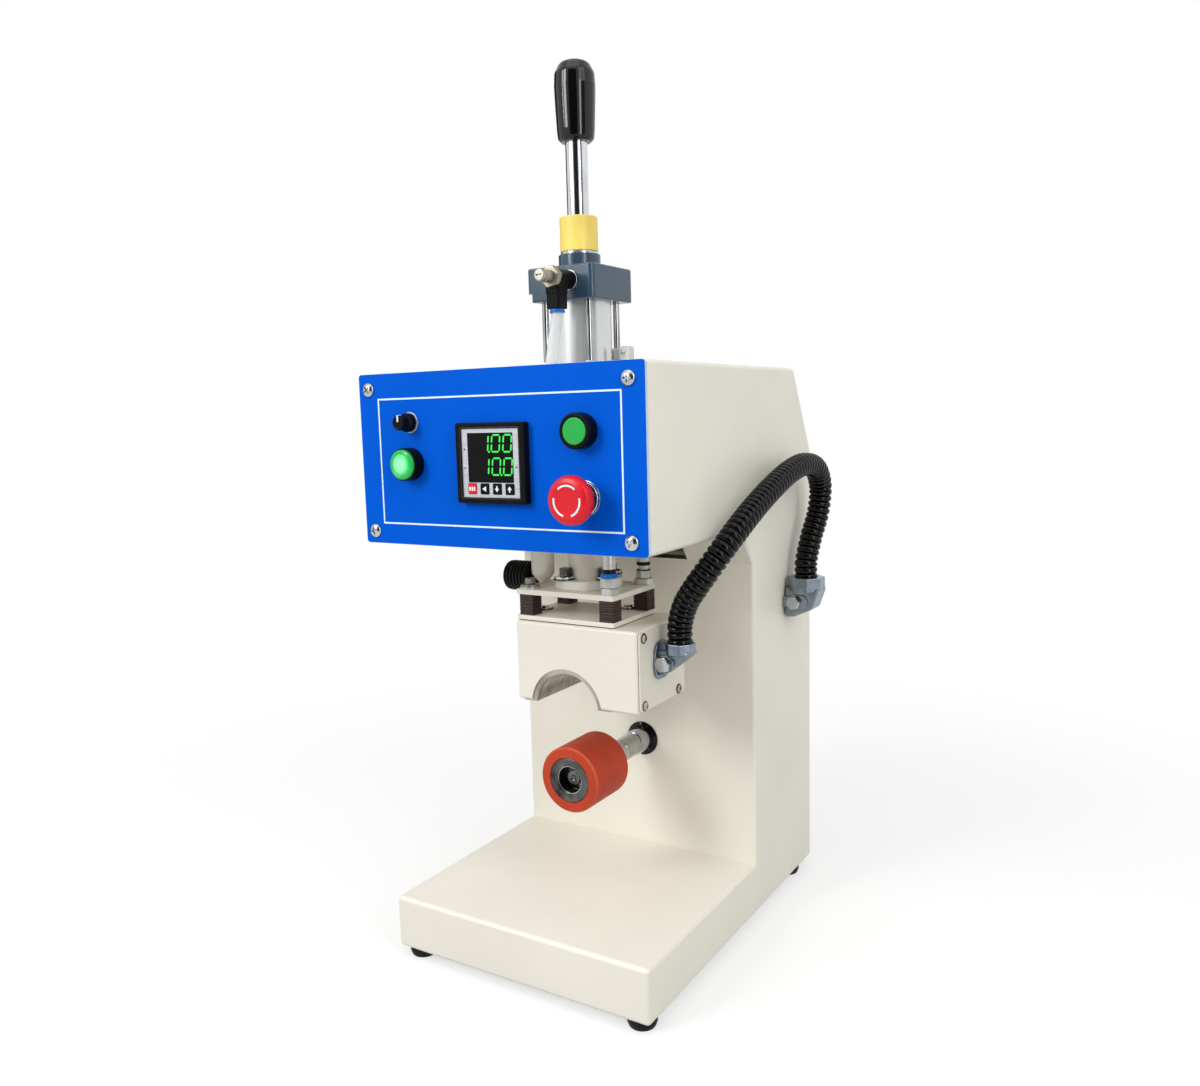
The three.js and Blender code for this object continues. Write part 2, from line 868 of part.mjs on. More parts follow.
function buildRearCover() {
  const foot = baseHeight + coverEdge;
  const top = baseHeight + backWindowFoot + backWindowHeight + coverLap;
  const ends = [-frameWidth + coverEdge, -coverEdge];
  const outside = baseDepth + coverPlate;
  const plate = join(
    slab(rectangle(ends, [foot, top]), coverEdge / 2, 'y', [baseDepth, outside]),
    ...rearScrewPlaces().map(([x, z]) => panScrew(1, [x, outside, z])),
    mainsInlet(outside),
  );
  const through = [baseDepth - overrun, outside + overrun];
  const slots = [...Array(slotCount).keys()].map((i) => {
    const z = top - slotDrop - i * slotPitch;
    return slab(rectangle(around(-frameWidth / 2, slotWidth / 2), around(z, slotHeight / 2)),
      slotHeight / 3, 'y', through);
  });
  const [solenoidX, solenoidZ] = solenoidInlet();
  add('rear_cover', cut(plate, ...slots,
    turn(rod(inletRadius + fit, ...through), 'y', [solenoidX, 0, solenoidZ], smallSides),
    mainsMouth(outside)), creamPaint());
}

// the mains inlet that is moulded through the rear cover, and the mouth that its plug enters
function mainsInlet(outside) {
  const z = baseHeight + inletAboveBase;
  return join(
    slab(rectangle(around(-inletAcross, inletWidth / 2), around(z, inletHeight / 2)),
      inletFlange / 2, 'y', [baseDepth, outside + inletFlange]),
    block(around(-inletAcross, inletWidth / 2 - inletFlange),
      [outside - inletBodyDepth, outside], around(z, inletHeight / 2 - inletFlange)),
  );
}

function mainsMouth(outside) {
  return block(around(-inletAcross, inletMouthWidth / 2),
    [outside + inletFlange - inletMouthDepth, outside + inletFlange + overrun],
    around(baseHeight + inletAboveBase, inletMouthHeight / 2));
}

const cornerNames = ['front_left', 'front_right', 'rear_right', 'rear_left'];

function buildFeet() {
  footPlaces().forEach(([x, y], i) => {
    add(`foot_${cornerNames[i]}`, turn([
      [0, footStudLength],
      [footStudRadius, footStudLength],
      [footStudRadius, 0],
      [footRadius, 0],
      [footRadius, -footHeight / 2],
      [footTipRadius, -footHeight + footBevel],
      [footTipRadius - footBevel, -footHeight],
      [0, -footHeight],
    ], 'z', [x, y, 0], smallSides), blackRubber());
  });
}

// The control panel

function panelHole(radius, { x, z }, sides) {
  return turn(rod(radius, panelFront - overrun, headFront + overrun), 'y', [x, 0, z], sides);
}

const controller = { x: -controllerFromRight, z: headFloorZ + controllerAboveFloor };
const dial = { x: -dialFromRight, z: headFloorZ + dialAboveFloor };
const lamp = { x: -lampFromRight, z: headFloorZ + lampAboveFloor };
const start = { x: -startFromRight, z: headFloorZ + startAboveFloor };
const stop = { x: -stopFromRight, z: headFloorZ + stopAboveFloor };

function buildPanel() {
  const plate = join(
    slab(rectangle(headEnds, [headFloorZ, headTopZ]), panelCorner, 'y', [panelFront, headFront]),
    ...panelScrewPlaces().map(([x, z]) => panScrew(-1, [x, panelFront, z])),
  );
  const rearHalf = [controllerWidth / 2 - controllerWall, controllerHeight / 2 - controllerWall];
  add('control_panel', cut(plate,
    block(around(controller.x, rearHalf[0] + fit), [panelFront - overrun, headFront + overrun],
      around(controller.z, rearHalf[1] + fit)),
    panelHole(potNeckRadius + fit, dial, roundSides),
    ...[lamp, start, stop].map((place) => panelHole(barrelRadius + fit, place, largeSides))),
  bluePaint());
}

function keyPlaces() {
  const left = controller.x - facePlateWidth / 2 + keyFromLeft;
  const z = controller.z - facePlateHeight / 2 + keyAboveFace;
  return keyNames.map((name, i) => ({ name, x: left + i * keyPitch, z }));
}

function buildController() {
  const front = panelFront - controllerProud;
  const faceFront = front + facePlateRecess;
  const keyFront = faceFront - keyTravel;
  const { x, z } = controller;
  const rearX = around(x, controllerWidth / 2 - controllerWall);
  const rearZ = around(z, controllerHeight / 2 - controllerWall);
  const body = join(
    slab(rectangle(around(x, controllerWidth / 2), around(z, controllerHeight / 2)),
      controllerCorner, 'y', [front, panelFront]),
    block(rearX, [panelFront - overrun, panelFront + controllerDepth], rearZ),
  );
  const pocket = block(around(x, facePlateWidth / 2), [front - overrun, faceFront],
    around(z, facePlateHeight / 2));
  const screen = block(around(x, screenWidth / 2), [front - overrun, faceFront + screenRecess],
    around(z + screenRise, screenHeight / 2));
  const wells = keyPlaces().map((key) => (
    block(around(key.x, keySide / 2 + fit),
      [front - overrun, keyFront + keyThickness + keyTravel + fit],
      around(key.z, keySide / 2 + fit))));
  add('controller_case', cut(body, pocket, screen, ...wells), blackPlastic());
  keyPlaces().forEach((key, i) => {
    add(key.name, slab(rectangle(around(key.x, keySide / 2), around(key.z, keySide / 2)), keyCorner,
      'y', [keyFront, keyFront + keyThickness]), i === 0 ? redPlastic() : blackPlastic());
  });
}

function buildDial() {
  const place = [dial.x, 0, dial.z];
  const foot = panelFront - dialDiscThickness;
  const tip = foot - fit - dialLength;
  const shaftEnd = foot + potShaftGrip;
  add('dial_mount', turn([
    [potShaftRadius + fit, foot],
    [dialDiscRadius, foot],
    [dialDiscRadius, panelFront],
    [potNeckRadius, panelFront],
    [potNeckRadius, headFront],
    [potRadius, headFront],
    [potRadius, headFront + potDepth],
    [0, headFront + potDepth],
    [0, shaftEnd + fit],
    [potShaftRadius + fit, shaftEnd + fit],
    [potShaftRadius + fit, foot],
  ], 'y', place), silverFoil());
  const knob = turn([
    [0, tip],
    [dialTipRadius - dialBevel, tip],
    [dialTipRadius, tip + dialBevel],
    [dialFootRadius, foot - fit - dialBevel],
    [dialFootRadius - dialBevel, foot - fit],
    [potShaftRadius, foot - fit],
    [potShaftRadius, shaftEnd],
    [0, shaftEnd],
  ], 'y', place);
  const pointer = block(around(dial.x, dialPointerWidth / 2),
    [tip - overrun, tip + dialPointerDepth], [dial.z, dial.z + dialFootRadius + overrun]);
  add('dial_knob', cut(knob, pointer), blackPlastic());
}

// the contact block on the end of a switch's barrel
function contactBlock({ x, z }) {
  const barrelEnd = headFront + barrelDepth;
  return block(around(x, contactWidth / 2), [barrelEnd - overrun, barrelEnd + contactDepth],
    around(z, contactHeight / 2));
}

// bezel, barrel and contact block of a push button, with the bore that its cap moves in
function buttonSwitch({ x, z }, proud, capRadius, capRecess) {
  const front = panelFront - proud;
  const end = headFront + barrelDepth;
  const floor = front + capRecess;
  return join(contactBlock({ x, z }), turn([
    [capRadius + fit, front],
    [bezelRadius - bezelBevel, front],
    [bezelRadius, front + bezelBevel],
    [bezelRadius, panelFront],
    [barrelRadius, panelFront],
    [barrelRadius, end],
    [plungerRadius + fit, end],
    [plungerRadius + fit, floor],
    [capRadius + fit, floor],
    [capRadius + fit, front],
  ], 'y', [x, 0, z], largeSides));
}

function buttonCap({ x, z }, bezelProud, capRadius, capProud, skirt, dome) {
  const front = panelFront - bezelProud - capProud;
  return turn([
    [0, front],
    [capRadius - dome * 2, front],
    [capRadius - dome / 2, front + dome / 2],
    [capRadius, front + dome * 3 / 2],
    [capRadius, front + skirt],
    [plungerRadius, front + skirt],
    [plungerRadius, headFront + barrelDepth - plungerEnd],
    [0, headFront + barrelDepth - plungerEnd],
  ], 'y', [x, 0, z], largeSides);
}

function buildButtons() {
  const lampWell = lampSkirt - lampProud + buttonTravel + fit;
  const startWell = startSkirt - startProud + buttonTravel + fit;
  add('lamp_switch', buttonSwitch(lamp, lampBezelProud, lampRadius, lampWell), blackPlastic());
  add('lamp_button', buttonCap(lamp, lampBezelProud, lampRadius, lampProud, lampSkirt,
    lampProud / 2), litGreen());
  add('start_switch', buttonSwitch(start, startBezelProud, startRadius, startWell), blackPlastic());
  add('start_button', buttonCap(start, startBezelProud, startRadius, startProud, startSkirt,
    startProud), greenPlastic());
}

function buildStopButton() {
  const face = panelFront - stopProud;
  const back = face + stopHeadThickness;
  const collarFront = panelFront - stopCollarProud;
  const barrelEnd = headFront + barrelDepth;
  const place = [stop.x, 0, stop.z];
  add('stop_switch', join(contactBlock(stop), turn([
    [stopStemRadius + fit, collarFront],
    [stopCollarRadius - bezelBevel, collarFront],
    [stopCollarRadius, collarFront + bezelBevel],
    [stopCollarRadius, panelFront],
    [barrelRadius, panelFront],
    [barrelRadius, barrelEnd],
    [stopStemRadius + fit, barrelEnd],
    [stopStemRadius + fit, collarFront],
  ], 'y', place, largeSides)), zincCasting());
  add('stop_stem', turn([
    [0, back + fit],
    [stopNeckRadius, back + fit],
    [stopNeckRadius, back + fit + stopNeckLength],
    [stopStemRadius, back + fit + stopNeckLength],
    [stopStemRadius, barrelEnd - overrun - stopTravel - fit],
    [0, barrelEnd - overrun - stopTravel - fit],
  ], 'y', place), darkSteel());
  add('stop_button', turn([
    [0, face + stopDishDrop],
    [stopHeadRadius / 2, face + stopDishDrop / 2],
    [stopHeadRadius - stopHeadBevel, face],
    [stopHeadRadius - stopHeadBevel / 3, face + stopHeadBevel / 3],
    [stopHeadRadius, face + stopHeadBevel],
    [stopHeadRadius, back - stopHeadBevel],
    [stopHeadRadius - stopHeadBevel, back],
    [0, back],
  ], 'y', place, largeSides), redPlastic());
}

// The air cylinder

function capBlock(side, from, to) {
  return slab(rectangle(around(pressX, side / 2), around(pressDepth, side / 2)), capCorner, 'z',
    [from, to]);
}

function rodBore(radius, from, to) {
  return turn(rod(radius, from - overrun, to + overrun), 'z', onAxis, roundSides);
}

function tieRodBores(from, to) {
  return tieRodPlaces().map((place) => (
    turn(rod(tieRodRadius + fit, from, to), 'z', [...place, 0], smallSides)));
}

const valve = { x: pressX + valveAcross, y: pressDepth - topCapSide / 2, z: topCapTopZ - valveDrop };

function buildCylinder() {
  add('cylinder_bottom_cap', cut(capBlock(footCapSide, floorTopZ, capTopZ),
    rodBore(rodRadius + fit, floorTopZ, capTopZ),
    ...tieRodBores(capTopZ - tieRodInsert - fit, capTopZ + overrun)), slatePaint());
  add('cylinder_tube', turn(tube(boreRadius, tubeRadius, capTopZ, tubeTopZ), 'z', onAxis,
    largeSides), brushedTube());
  const neck = turn([
    [0, topCapTopZ - overrun],
    [neckRadius, topCapTopZ - overrun],
    [neckRadius, neckTopZ - neckBevel],
    [neckRadius - neckBevel, neckTopZ],
    [washerRadius, neckTopZ],
    [washerRadius, sleeveFootZ],
    [0, sleeveFootZ],
  ], 'z', onAxis);
  const port = turn(rod(portBoreRadius, -overrun, topCapSide / 4), 'y',
    [valve.x, valve.y, valve.z]);
  const capLeft = pressX - topCapSide / 2;
  const notch = block([capLeft - overrun, capLeft + capNotchWidth],
    around(pressDepth, topCapSide / 2 + overrun), [tubeTopZ - overrun, tubeTopZ + capNotchHeight]);
  add('cylinder_top_cap', cut(join(capBlock(topCapSide, tubeTopZ, topCapTopZ), neck),
    rodBore(rodRadius + fit, tubeTopZ, sleeveFootZ), port, notch,
    ...tieRodBores(tubeTopZ - overrun, tubeTopZ + tieRodInsert + fit)), slatePaint());
  tieRodPlaces().forEach(([x, y], i) => {
    add(`tie_rod_${cornerNames[i]}`, join(
      turn(rod(tieRodRadius, capTopZ - tieRodInsert, tubeTopZ + tieRodInsert), 'z', [x, y, 0],
        smallSides),
      hexBar(tieNutFlats, headTopZ, headTopZ + tieNutHeight, 'z', [x, y, 0]),
    ), brightSteel());
  });
  add('stop_sleeve', turn([
    [rodRadius + fit, sleeveFootZ],
    [sleeveRadius - sleeveBevel, sleeveFootZ],
    [sleeveRadius, sleeveFootZ + sleeveBevel],
    [sleeveRadius, sleeveTopZ - sleeveBevel],
    [sleeveRadius - sleeveBevel, sleeveTopZ],
    [rodRadius + fit, sleeveTopZ],
    [rodRadius + fit, sleeveFootZ],
  ], 'z', onAxis), yellowPlastic());
}

function buildRod() {
  const foot = plateTopZ + flangeThickness + bossHeight - rodInsert;
  const pistonFoot = capTopZ + pistonRise;
  add('piston_rod', turn([
    [0, foot],
    [rodRadius, foot],
    [rodRadius, pistonFoot],
    [boreRadius - fit, pistonFoot],
    [boreRadius - fit, pistonFoot + pistonHeight],
    [rodRadius, pistonFoot + pistonHeight],
    [rodRadius, gripFootZ + gripSocket],
    [0, gripFootZ + gripSocket],
  ], 'z', onAxis), brightSteel());
  const seat = plateTopZ + flangeThickness;
  const boss = turn([
    [0, plateTopZ],
    [flangeRadius - flangeBevel, plateTopZ],
    [flangeRadius, plateTopZ + flangeBevel],
    [flangeRadius, seat - flangeBevel],
    [flangeRadius - flangeBevel, seat],
    [bossRadius, seat],
    [bossRadius, seat + bossHeight - bossBevel],
    [bossRadius - bossBevel, seat + bossHeight],
    [0, seat + bossHeight],
  ], 'z', onAxis, largeSides);
  add('rod_flange', cut(join(boss, ...flangeBolts(seat)),
    turn(rod(rodRadius + slideFit, foot - slideFit, seat + bossHeight + overrun), 'z', onAxis)),
  creamPaint());
}

// four bolts and their washers, joined to the flange, whose shanks go through the upper plate
function flangeBolts(seat) {
  return flangeBoltPlaces().map(([x, y]) => join(
    turn(rod(flangeWasherRadius, seat - overrun, seat + plateWasherThickness), 'z', [x, y, 0],
      smallSides),
    hexBar(flangeBoltFlats, seat, seat + plateWasherThickness + flangeBoltHead, 'z', [x, y, 0]),
    turn(rod(flangeBoltRadius, plateFootZ - flangeBoltTip, seat), 'z', [x, y, 0], smallSides),
  ));
}

// the four bolts stand a little turned from square, as shares of a full turn
function flangeBoltPlaces() {
  return [0, 1 / 4, 1 / 2, 3 / 4].map((share) => {
    const angle = 2 * Math.PI * (share + flangeBoltTurnShare);
    return [
      pressX + flangeBoltCircle * Math.sin(angle),
      pressDepth - flangeBoltCircle * Math.cos(angle),
    ];
  });
}

function flangeBoltHoles() {
  return flangeBoltPlaces().map((place) => turn(rod(flangeBoltRadius + fit,
    plateFootZ - overrun, plateTopZ + overrun), 'z', [...place, 0], smallSides));
}

function buildGrip() {
  const top = gripFootZ + gripLength;
  const shoulder = top - gripTopRadius;
  const dome = [...Array(domeSteps).keys()].map((i) => {
    const angle = Math.PI / 2 * i / domeSteps;
    return [gripTopRadius * Math.cos(angle), shoulder + gripTopRadius * Math.sin(angle)];
  });
  add('hand_grip', turn([
    [rodRadius + slideFit, gripFootZ],
    [gripFootRadius - gripFootBevel, gripFootZ],
    [gripFootRadius - gripFootBevel / 3, gripFootZ + gripFootBevel / 3],
    [gripFootRadius, gripFootZ + gripFootBevel],
    ...dome,
    [0, top],
    [0, gripFootZ + gripSocket + fit],
    [rodRadius + slideFit, gripFootZ + gripSocket + fit],
    [rodRadius + slideFit, gripFootZ],
  ], 'z', onAxis), blackPlastic());
}

// The air fittings

function buildFlowValve() {
  const { x, y, z } = valve;
  const bodyFront = y - valveRingThickness - valveBodyLength;
  const legY = bodyFront + valveLegSetback;
  const legFoot = z - valveLegDrop;
  const body = join(
    turn([
      [0, bodyFront],
      [valveBodyRadius, bodyFront],
      [valveBodyRadius, y - valveRingThickness],
      [valveRingRadius, y - valveRingThickness],
      [valveRingRadius, y],
      [portBoreRadius - fit, y],
      [portBoreRadius - fit, y + topCapSide / 5],
      [0, y + topCapSide / 5],
    ], 'y', [x, 0, z]),
    turn([
      [0, z],
      [valveLegRadius, z],
      [valveLegRadius, legFoot + valveScrewBevel],
      [ringRadius, legFoot],
      [ringRadius, legFoot - ringThickness],
      [0, legFoot - ringThickness],
    ], 'z', [x, legY, 0], smallSides),
    hexBar(lockNutFlats, bodyFront - lockNutThickness, bodyFront + overrun, 'y', [x, 0, z]),
  );
  const screwSeat = bodyFront - lockNutThickness;
  const socket = turn(rod(airTubeRadius + airTubeFit, legFoot - ringThickness - overrun,
    legFoot + airTubeGrip), 'z',
    [x, legY, 0], smallSides);
  const spindle = turn(rod(valveSpindleRadius + fit, screwSeat - overrun,
    screwSeat + valveSpindleLength + fit), 'y', [x, 0, z], smallSides);
  add('flow_valve', cut(body, socket, spindle), blackPlastic());
  const tip = screwSeat - fit - valveScrewLength;
  const knob = turn([
    [0, tip],
    [valveScrewTip, tip],
    [valveScrewRadius, tip + valveScrewBevel],
    [valveScrewRadius, screwSeat - fit],
    [valveSpindleRadius, screwSeat - fit],
    [valveSpindleRadius, screwSeat + valveSpindleLength],
    [0, screwSeat + valveSpindleLength],
  ], 'y', [x, 0, z], smallSides);
  add('flow_screw', cut(knob, block(around(x, valveScrewRadius + overrun),
    [tip - overrun, tip + valveSlotDepth], around(z, valveSlotWidth / 2))), brightSteel());
  return { x, y: legY, z: legFoot };
}

function solenoidInlet() {
  const x = -headWidth + solenoidFromLeft + solenoidWidth / 2;
  return [x, floorTopZ + solenoidFoot + solenoidHeight / 2];
}

function buildAirTube(fitting) {
  const [solenoidX, solenoidZ] = solenoidInlet();
  const solenoidFront = baseDepth - sheet - solenoidDepth;
  const top = fitting.z + airTubeGrip - fit;
  const path = [
    [fitting.x, fitting.y, top],
    [fitting.x, fitting.y, fitting.z - ringThickness],
    ...airTubePoints.map(fromColumn),
    [solenoidX, solenoidFront - airTubeGrip, solenoidZ],
    [solenoidX, solenoidFront + solenoidGrip - fit, solenoidZ],
  ];
  add('air_tube', pipe(path, airTubeRadius, airTubeSides, airTubeSteps), clearTube());
}

function buildSolenoid() {
  const [x, z] = solenoidInlet();
  const back = baseDepth - sheet;
  const front = back - solenoidDepth;
  const body = join(
    block(around(x, solenoidWidth / 2), [front, back], around(z, solenoidHeight / 2)),
    turn(rod(inletRadius, back - overrun, baseDepth + coverPlate + inletProud), 'y', [x, 0, z],
      smallSides),
    block(around(x, solenoidWidth / 4), [front + solenoidGrip, back - solenoidGrip],
      [floorTopZ, z]),
  );
  const socket = turn(rod(airTubeRadius + airTubeFit, front - overrun, front + solenoidGrip), 'y',
    [x, 0, z], smallSides);
  const mouth = turn(rod(airTubeRadius, baseDepth + coverPlate, baseDepth + coverPlate
    + inletProud + overrun), 'y', [x, 0, z], smallSides);
  add('solenoid_valve', cut(body, socket, mouth), darkSteel());
}

function buildPortBlock() {
  const left = pressX + portBlockReach;
  add('port_block', slab(rectangle([left, left + portBlockWidth],
    [headTopZ, headTopZ + portBlockHeight]), portBlockCorner, 'y',
  around(pressDepth + portBlockSetback, portBlockDepth / 2)), zincCasting());
}

// The press head

function cornerPlaces() {
  const [left, right] = around(pressX, studX);
  return [[left, studFront], [right, studFront], [right, studBack], [left, studBack]];
}

function studHoles(from, to) {
  return cornerPlaces().map((place) => (
    turn(rod(studRadius + fit, from - overrun, to + overrun), 'z', [...place, 0], smallSides)));
}

function plateBlank(from) {
  return slab(rectangle(around(pressX, plateWidth / 2),
    [pressDepth - plateFrontReach, pressDepth + plateBackReach]),
  plateCorner, 'z', [from, from + plateThickness]);
}

function buildPlates() {
  add('upper_plate', cut(plateBlank(plateFootZ), ...studHoles(plateFootZ, plateTopZ),
    ...flangeBoltHoles()), creamPaint());
  const [frontLeft, frontRight, rearRight, rearLeft] = cornerPlaces();
  const guideHoles = [frontRight, rearRight].map((place) => (
    turn(rod(studRadius + fit, coverTopZ - overrun, lowerPlateTopZ + overrun), 'z', [...place, 0],
      smallSides)));
  add('lower_plate', cut(join(plateBlank(coverTopZ), weldStud(frontLeft), weldStud(rearLeft),
    lowerBolt([pressX - studX, pressDepth]),
    lowerBolt([pressX + studX / 2, studBack])), ...guideHoles), creamPaint());
  cornerPlaces().forEach(([x, y], i) => {
    add(`spacer_${cornerNames[i]}`, cut(
      block(around(x, spacerSide / 2), around(y, spacerSide / 2), [lowerPlateTopZ, plateFootZ]),
      turn(rod(studRadius + fit, lowerPlateTopZ - overrun, plateFootZ + overrun), 'z', [x, y, 0],
        smallSides)), brownLaminate());
  });
}

// a stud of the lower plate, with the washer and nut that hold the upper plate on its spacer
function weldStud([x, y]) {
  return join(
    turn(rod(studRadius, coverTopZ, plateTopZ + studProud), 'z', [x, y, 0], smallSides),
    turn(rod(studWasherRadius, plateTopZ, plateTopZ + studWasherThickness), 'z', [x, y, 0],
      smallSides),
    hexBar(studNutFlats, plateTopZ + studWasherThickness / 2,
      plateTopZ + studWasherThickness + nutHeight, 'z', [x, y, 0]),
  );
}

function lowerBolt([x, y]) {
  const top = lowerPlateTopZ + plateWasherThickness;
  return join(
    turn(rod(plateWasherRadius, lowerPlateTopZ - overrun, top), 'z', [x, y, 0], smallSides),
    hexBar(plateBoltFlats, lowerPlateTopZ, top + plateBoltHeight, 'z', [x, y, 0]),
  );
}

function buildGuides() {
  const shoulder = plateTopZ + guideShoulder;
  const top = floorTopZ + bushHeight / 2 + pressTravel + guideSpare;
  const nutsTop = plateTopZ + jamNutHeight + nutHeight;
  guidePlaces().forEach(([x, y], i) => {
    add(i === 0 ? 'guide_post_front' : 'guide_post_rear', join(
      turn([
        [0, coverTopZ + fit],
        [studRadius, coverTopZ + fit],
        [studRadius, shoulder],
        [guideRadius, shoulder],
        [guideRadius, top],
        [0, top],
      ], 'z', [x, y, 0], smallSides),
      hexBar(nutFlats, plateTopZ, plateTopZ + jamNutHeight, 'z', [x, y, 0]),
      hexBar(nutFlats, plateTopZ + jamNutHeight + fit, nutsTop, 'z', [x, y, 0]),
      turn(rod(nutFlats / 2, nutsTop - overrun, nutsTop + lockCollarHeight), 'z', [x, y, 0],
        smallSides),
    ), brightSteel());
  });
}

// a bush welded into the head box floor, with a flange under it
function guideBush([x, y]) {
  const flangeFoot = headFloorZ - bushFlangeThickness;
  return turn([
    [guideRadius + fit, flangeFoot],
    [bushFlangeRadius, flangeFoot],
    [bushFlangeRadius, headFloorZ + sheet / 2],
    [bushRadius, headFloorZ + sheet / 2],
    [bushRadius, headFloorZ + bushHeight],
    [guideRadius + fit, headFloorZ + bushHeight],
    [guideRadius + fit, flangeFoot],
  ], 'z', [x, y, 0], smallSides);
}

function archCut(radius, from, to) {
  return turn(rod(radius, from, to), 'y', [pressX, 0, archZ], largeSides);
}

// the way of the U-shaped element: in from the terminal box, round a bend and out again
function heaterPath() {
  const z = archZ + mouldRadius + heaterRise;
  const right = pressX + blockHalfWidth;
  const bendX = pressX - blockHalfWidth * heaterBendShare;
  const middle = (right + bendX) / 2;
  const bend = [1, 2, 3, 4, 5].map((step) => {
    const angle = Math.PI * step / 6;
    return [bendX - heaterSpread * Math.sin(angle), pressDepth - heaterSpread * Math.cos(angle), z];
  });
  return [
    [right + heaterProud, pressDepth - heaterSpread, z],
    [middle, pressDepth - heaterSpread, z],
    [bendX, pressDepth - heaterSpread, z],
    ...bend,
    [bendX, pressDepth + heaterSpread, z],
    [middle, pressDepth + heaterSpread, z],
    [right + heaterProud, pressDepth + heaterSpread, z],
  ];
}

function buildHeatBlock() {
  const front = coverFront + coverSheet + fit;
  const back = coverBack - coverSheet - fit;
  const foot = coverFootZ - mouldProud;
  const body = block(around(pressX, blockHalfWidth), [front, back], [foot, foot + blockHeight]);
  add('heat_block', cut(body, archCut(mouldRadius, front - overrun, back + overrun),
    pipe(heaterPath(), heaterRadius + fit, heaterSides, heaterSteps)), darkSteel());
  add('heating_element', pipe(heaterPath(), heaterRadius, heaterSides, heaterSteps),
    brightSteel());
}

function buildHeadCover() {
  const outer = slab(rectangle([coverLeft, coverRight], [coverFootZ, coverTopZ]), coverRadius, 'y',
    [coverFront, coverBack], coverRadius * endBevelShare);
  const insideX = [coverLeft + coverSheet, coverRight - coverSheet];
  const insideY = [coverFront + coverSheet, coverBack - coverSheet];
  const inside = block(insideX, insideY, [coverFootZ + coverSheet, coverTopZ - coverSheet]);
  const mouth = block([insideX[0], pressX + blockHalfWidth + fit], insideY,
    [coverFootZ - overrun, coverFootZ + coverSheet + overrun]);
  const sideWindow = block([insideX[1] - overrun, coverRight + overrun],
    [coverFront + coverLip, coverBack - coverLip], [coverFootZ + coverLip, coverTopZ - coverLip]);
  const screwHoles = sideScrewPlaces().map(([y, z]) => (
    turn(rod(screwShankRadius + fit, insideX[1] - overrun, coverRight + overrun), 'x', [0, y, z],
      smallSides)));
  add('head_cover', cut(outer, inside, mouth, sideWindow,
    archCut(coverArchRadius, coverFront - overrun, coverBack + overrun), ...screwHoles),
  creamPaint());
}

function sideScrewPlaces() {
  const [front, back] = [coverFront + sideScrewFrontInset, coverBack - sideScrewBackInset];
  const [low, high] = [coverFootZ + sideScrewInset, coverTopZ - sideScrewInset];
  return [[front, low], [back, low], [back, high], [front, high]];
}

function buildSideCover() {
  const face = coverRight + sideCoverThickness;
  const plate = slab(rectangle([coverFront + sideCoverEdge, coverBack - sideCoverEdge],
    [coverFootZ + sideCoverEdge, coverTopZ - sideCoverEdge]), sideCoverCorner, 'x',
  [coverRight, face]);
  const passage = turn(rod(elbowPassageRadius, coverRight - overrun, face + overrun), 'x',
    [0, headElbow.y, elbowPassageZ(headElbow)], smallSides);
  add('side_cover', cut(join(plate, ...sideScrewPlaces().map(([y, z]) => (
    screw('x', 1, [face, y, z], sideScrewRadius, sideScrewHead, screwShankRadius,
      sideScrewLength)))), passage), creamPaint());
}

// The clamp elbows and the conduit hose

const headElbow = {
  wall: coverRight + sideCoverThickness,
  reach: headElbowReach,
  y: pressDepth + headElbowDepth,
  top: coverFootZ + headElbowHeight,
  ring: headElbowRing,
  bulge: headElbowBulgeShare,
};
const columnElbow = {
  wall: 0,
  reach: columnElbowReach,
  y: columnFront + columnElbowDepth,
  top: baseHeight + columnElbowHeight,
  ring: columnElbowRing,
  bulge: columnElbowBulgeShare,
};

function elbowPassageZ(elbow) {
  return elbow.top - elbow.ring * elbowRingHeightShare - hoseBoreRadius;
}

function elbowBoltPlace(elbow) {
  return [
    elbow.wall + elbow.ring * elbowBoltReachShare,
    elbow.y - elbow.ring * elbowWidthShare / 2,
    elbow.top - elbow.ring * elbowBoltDropShare,
  ];
}

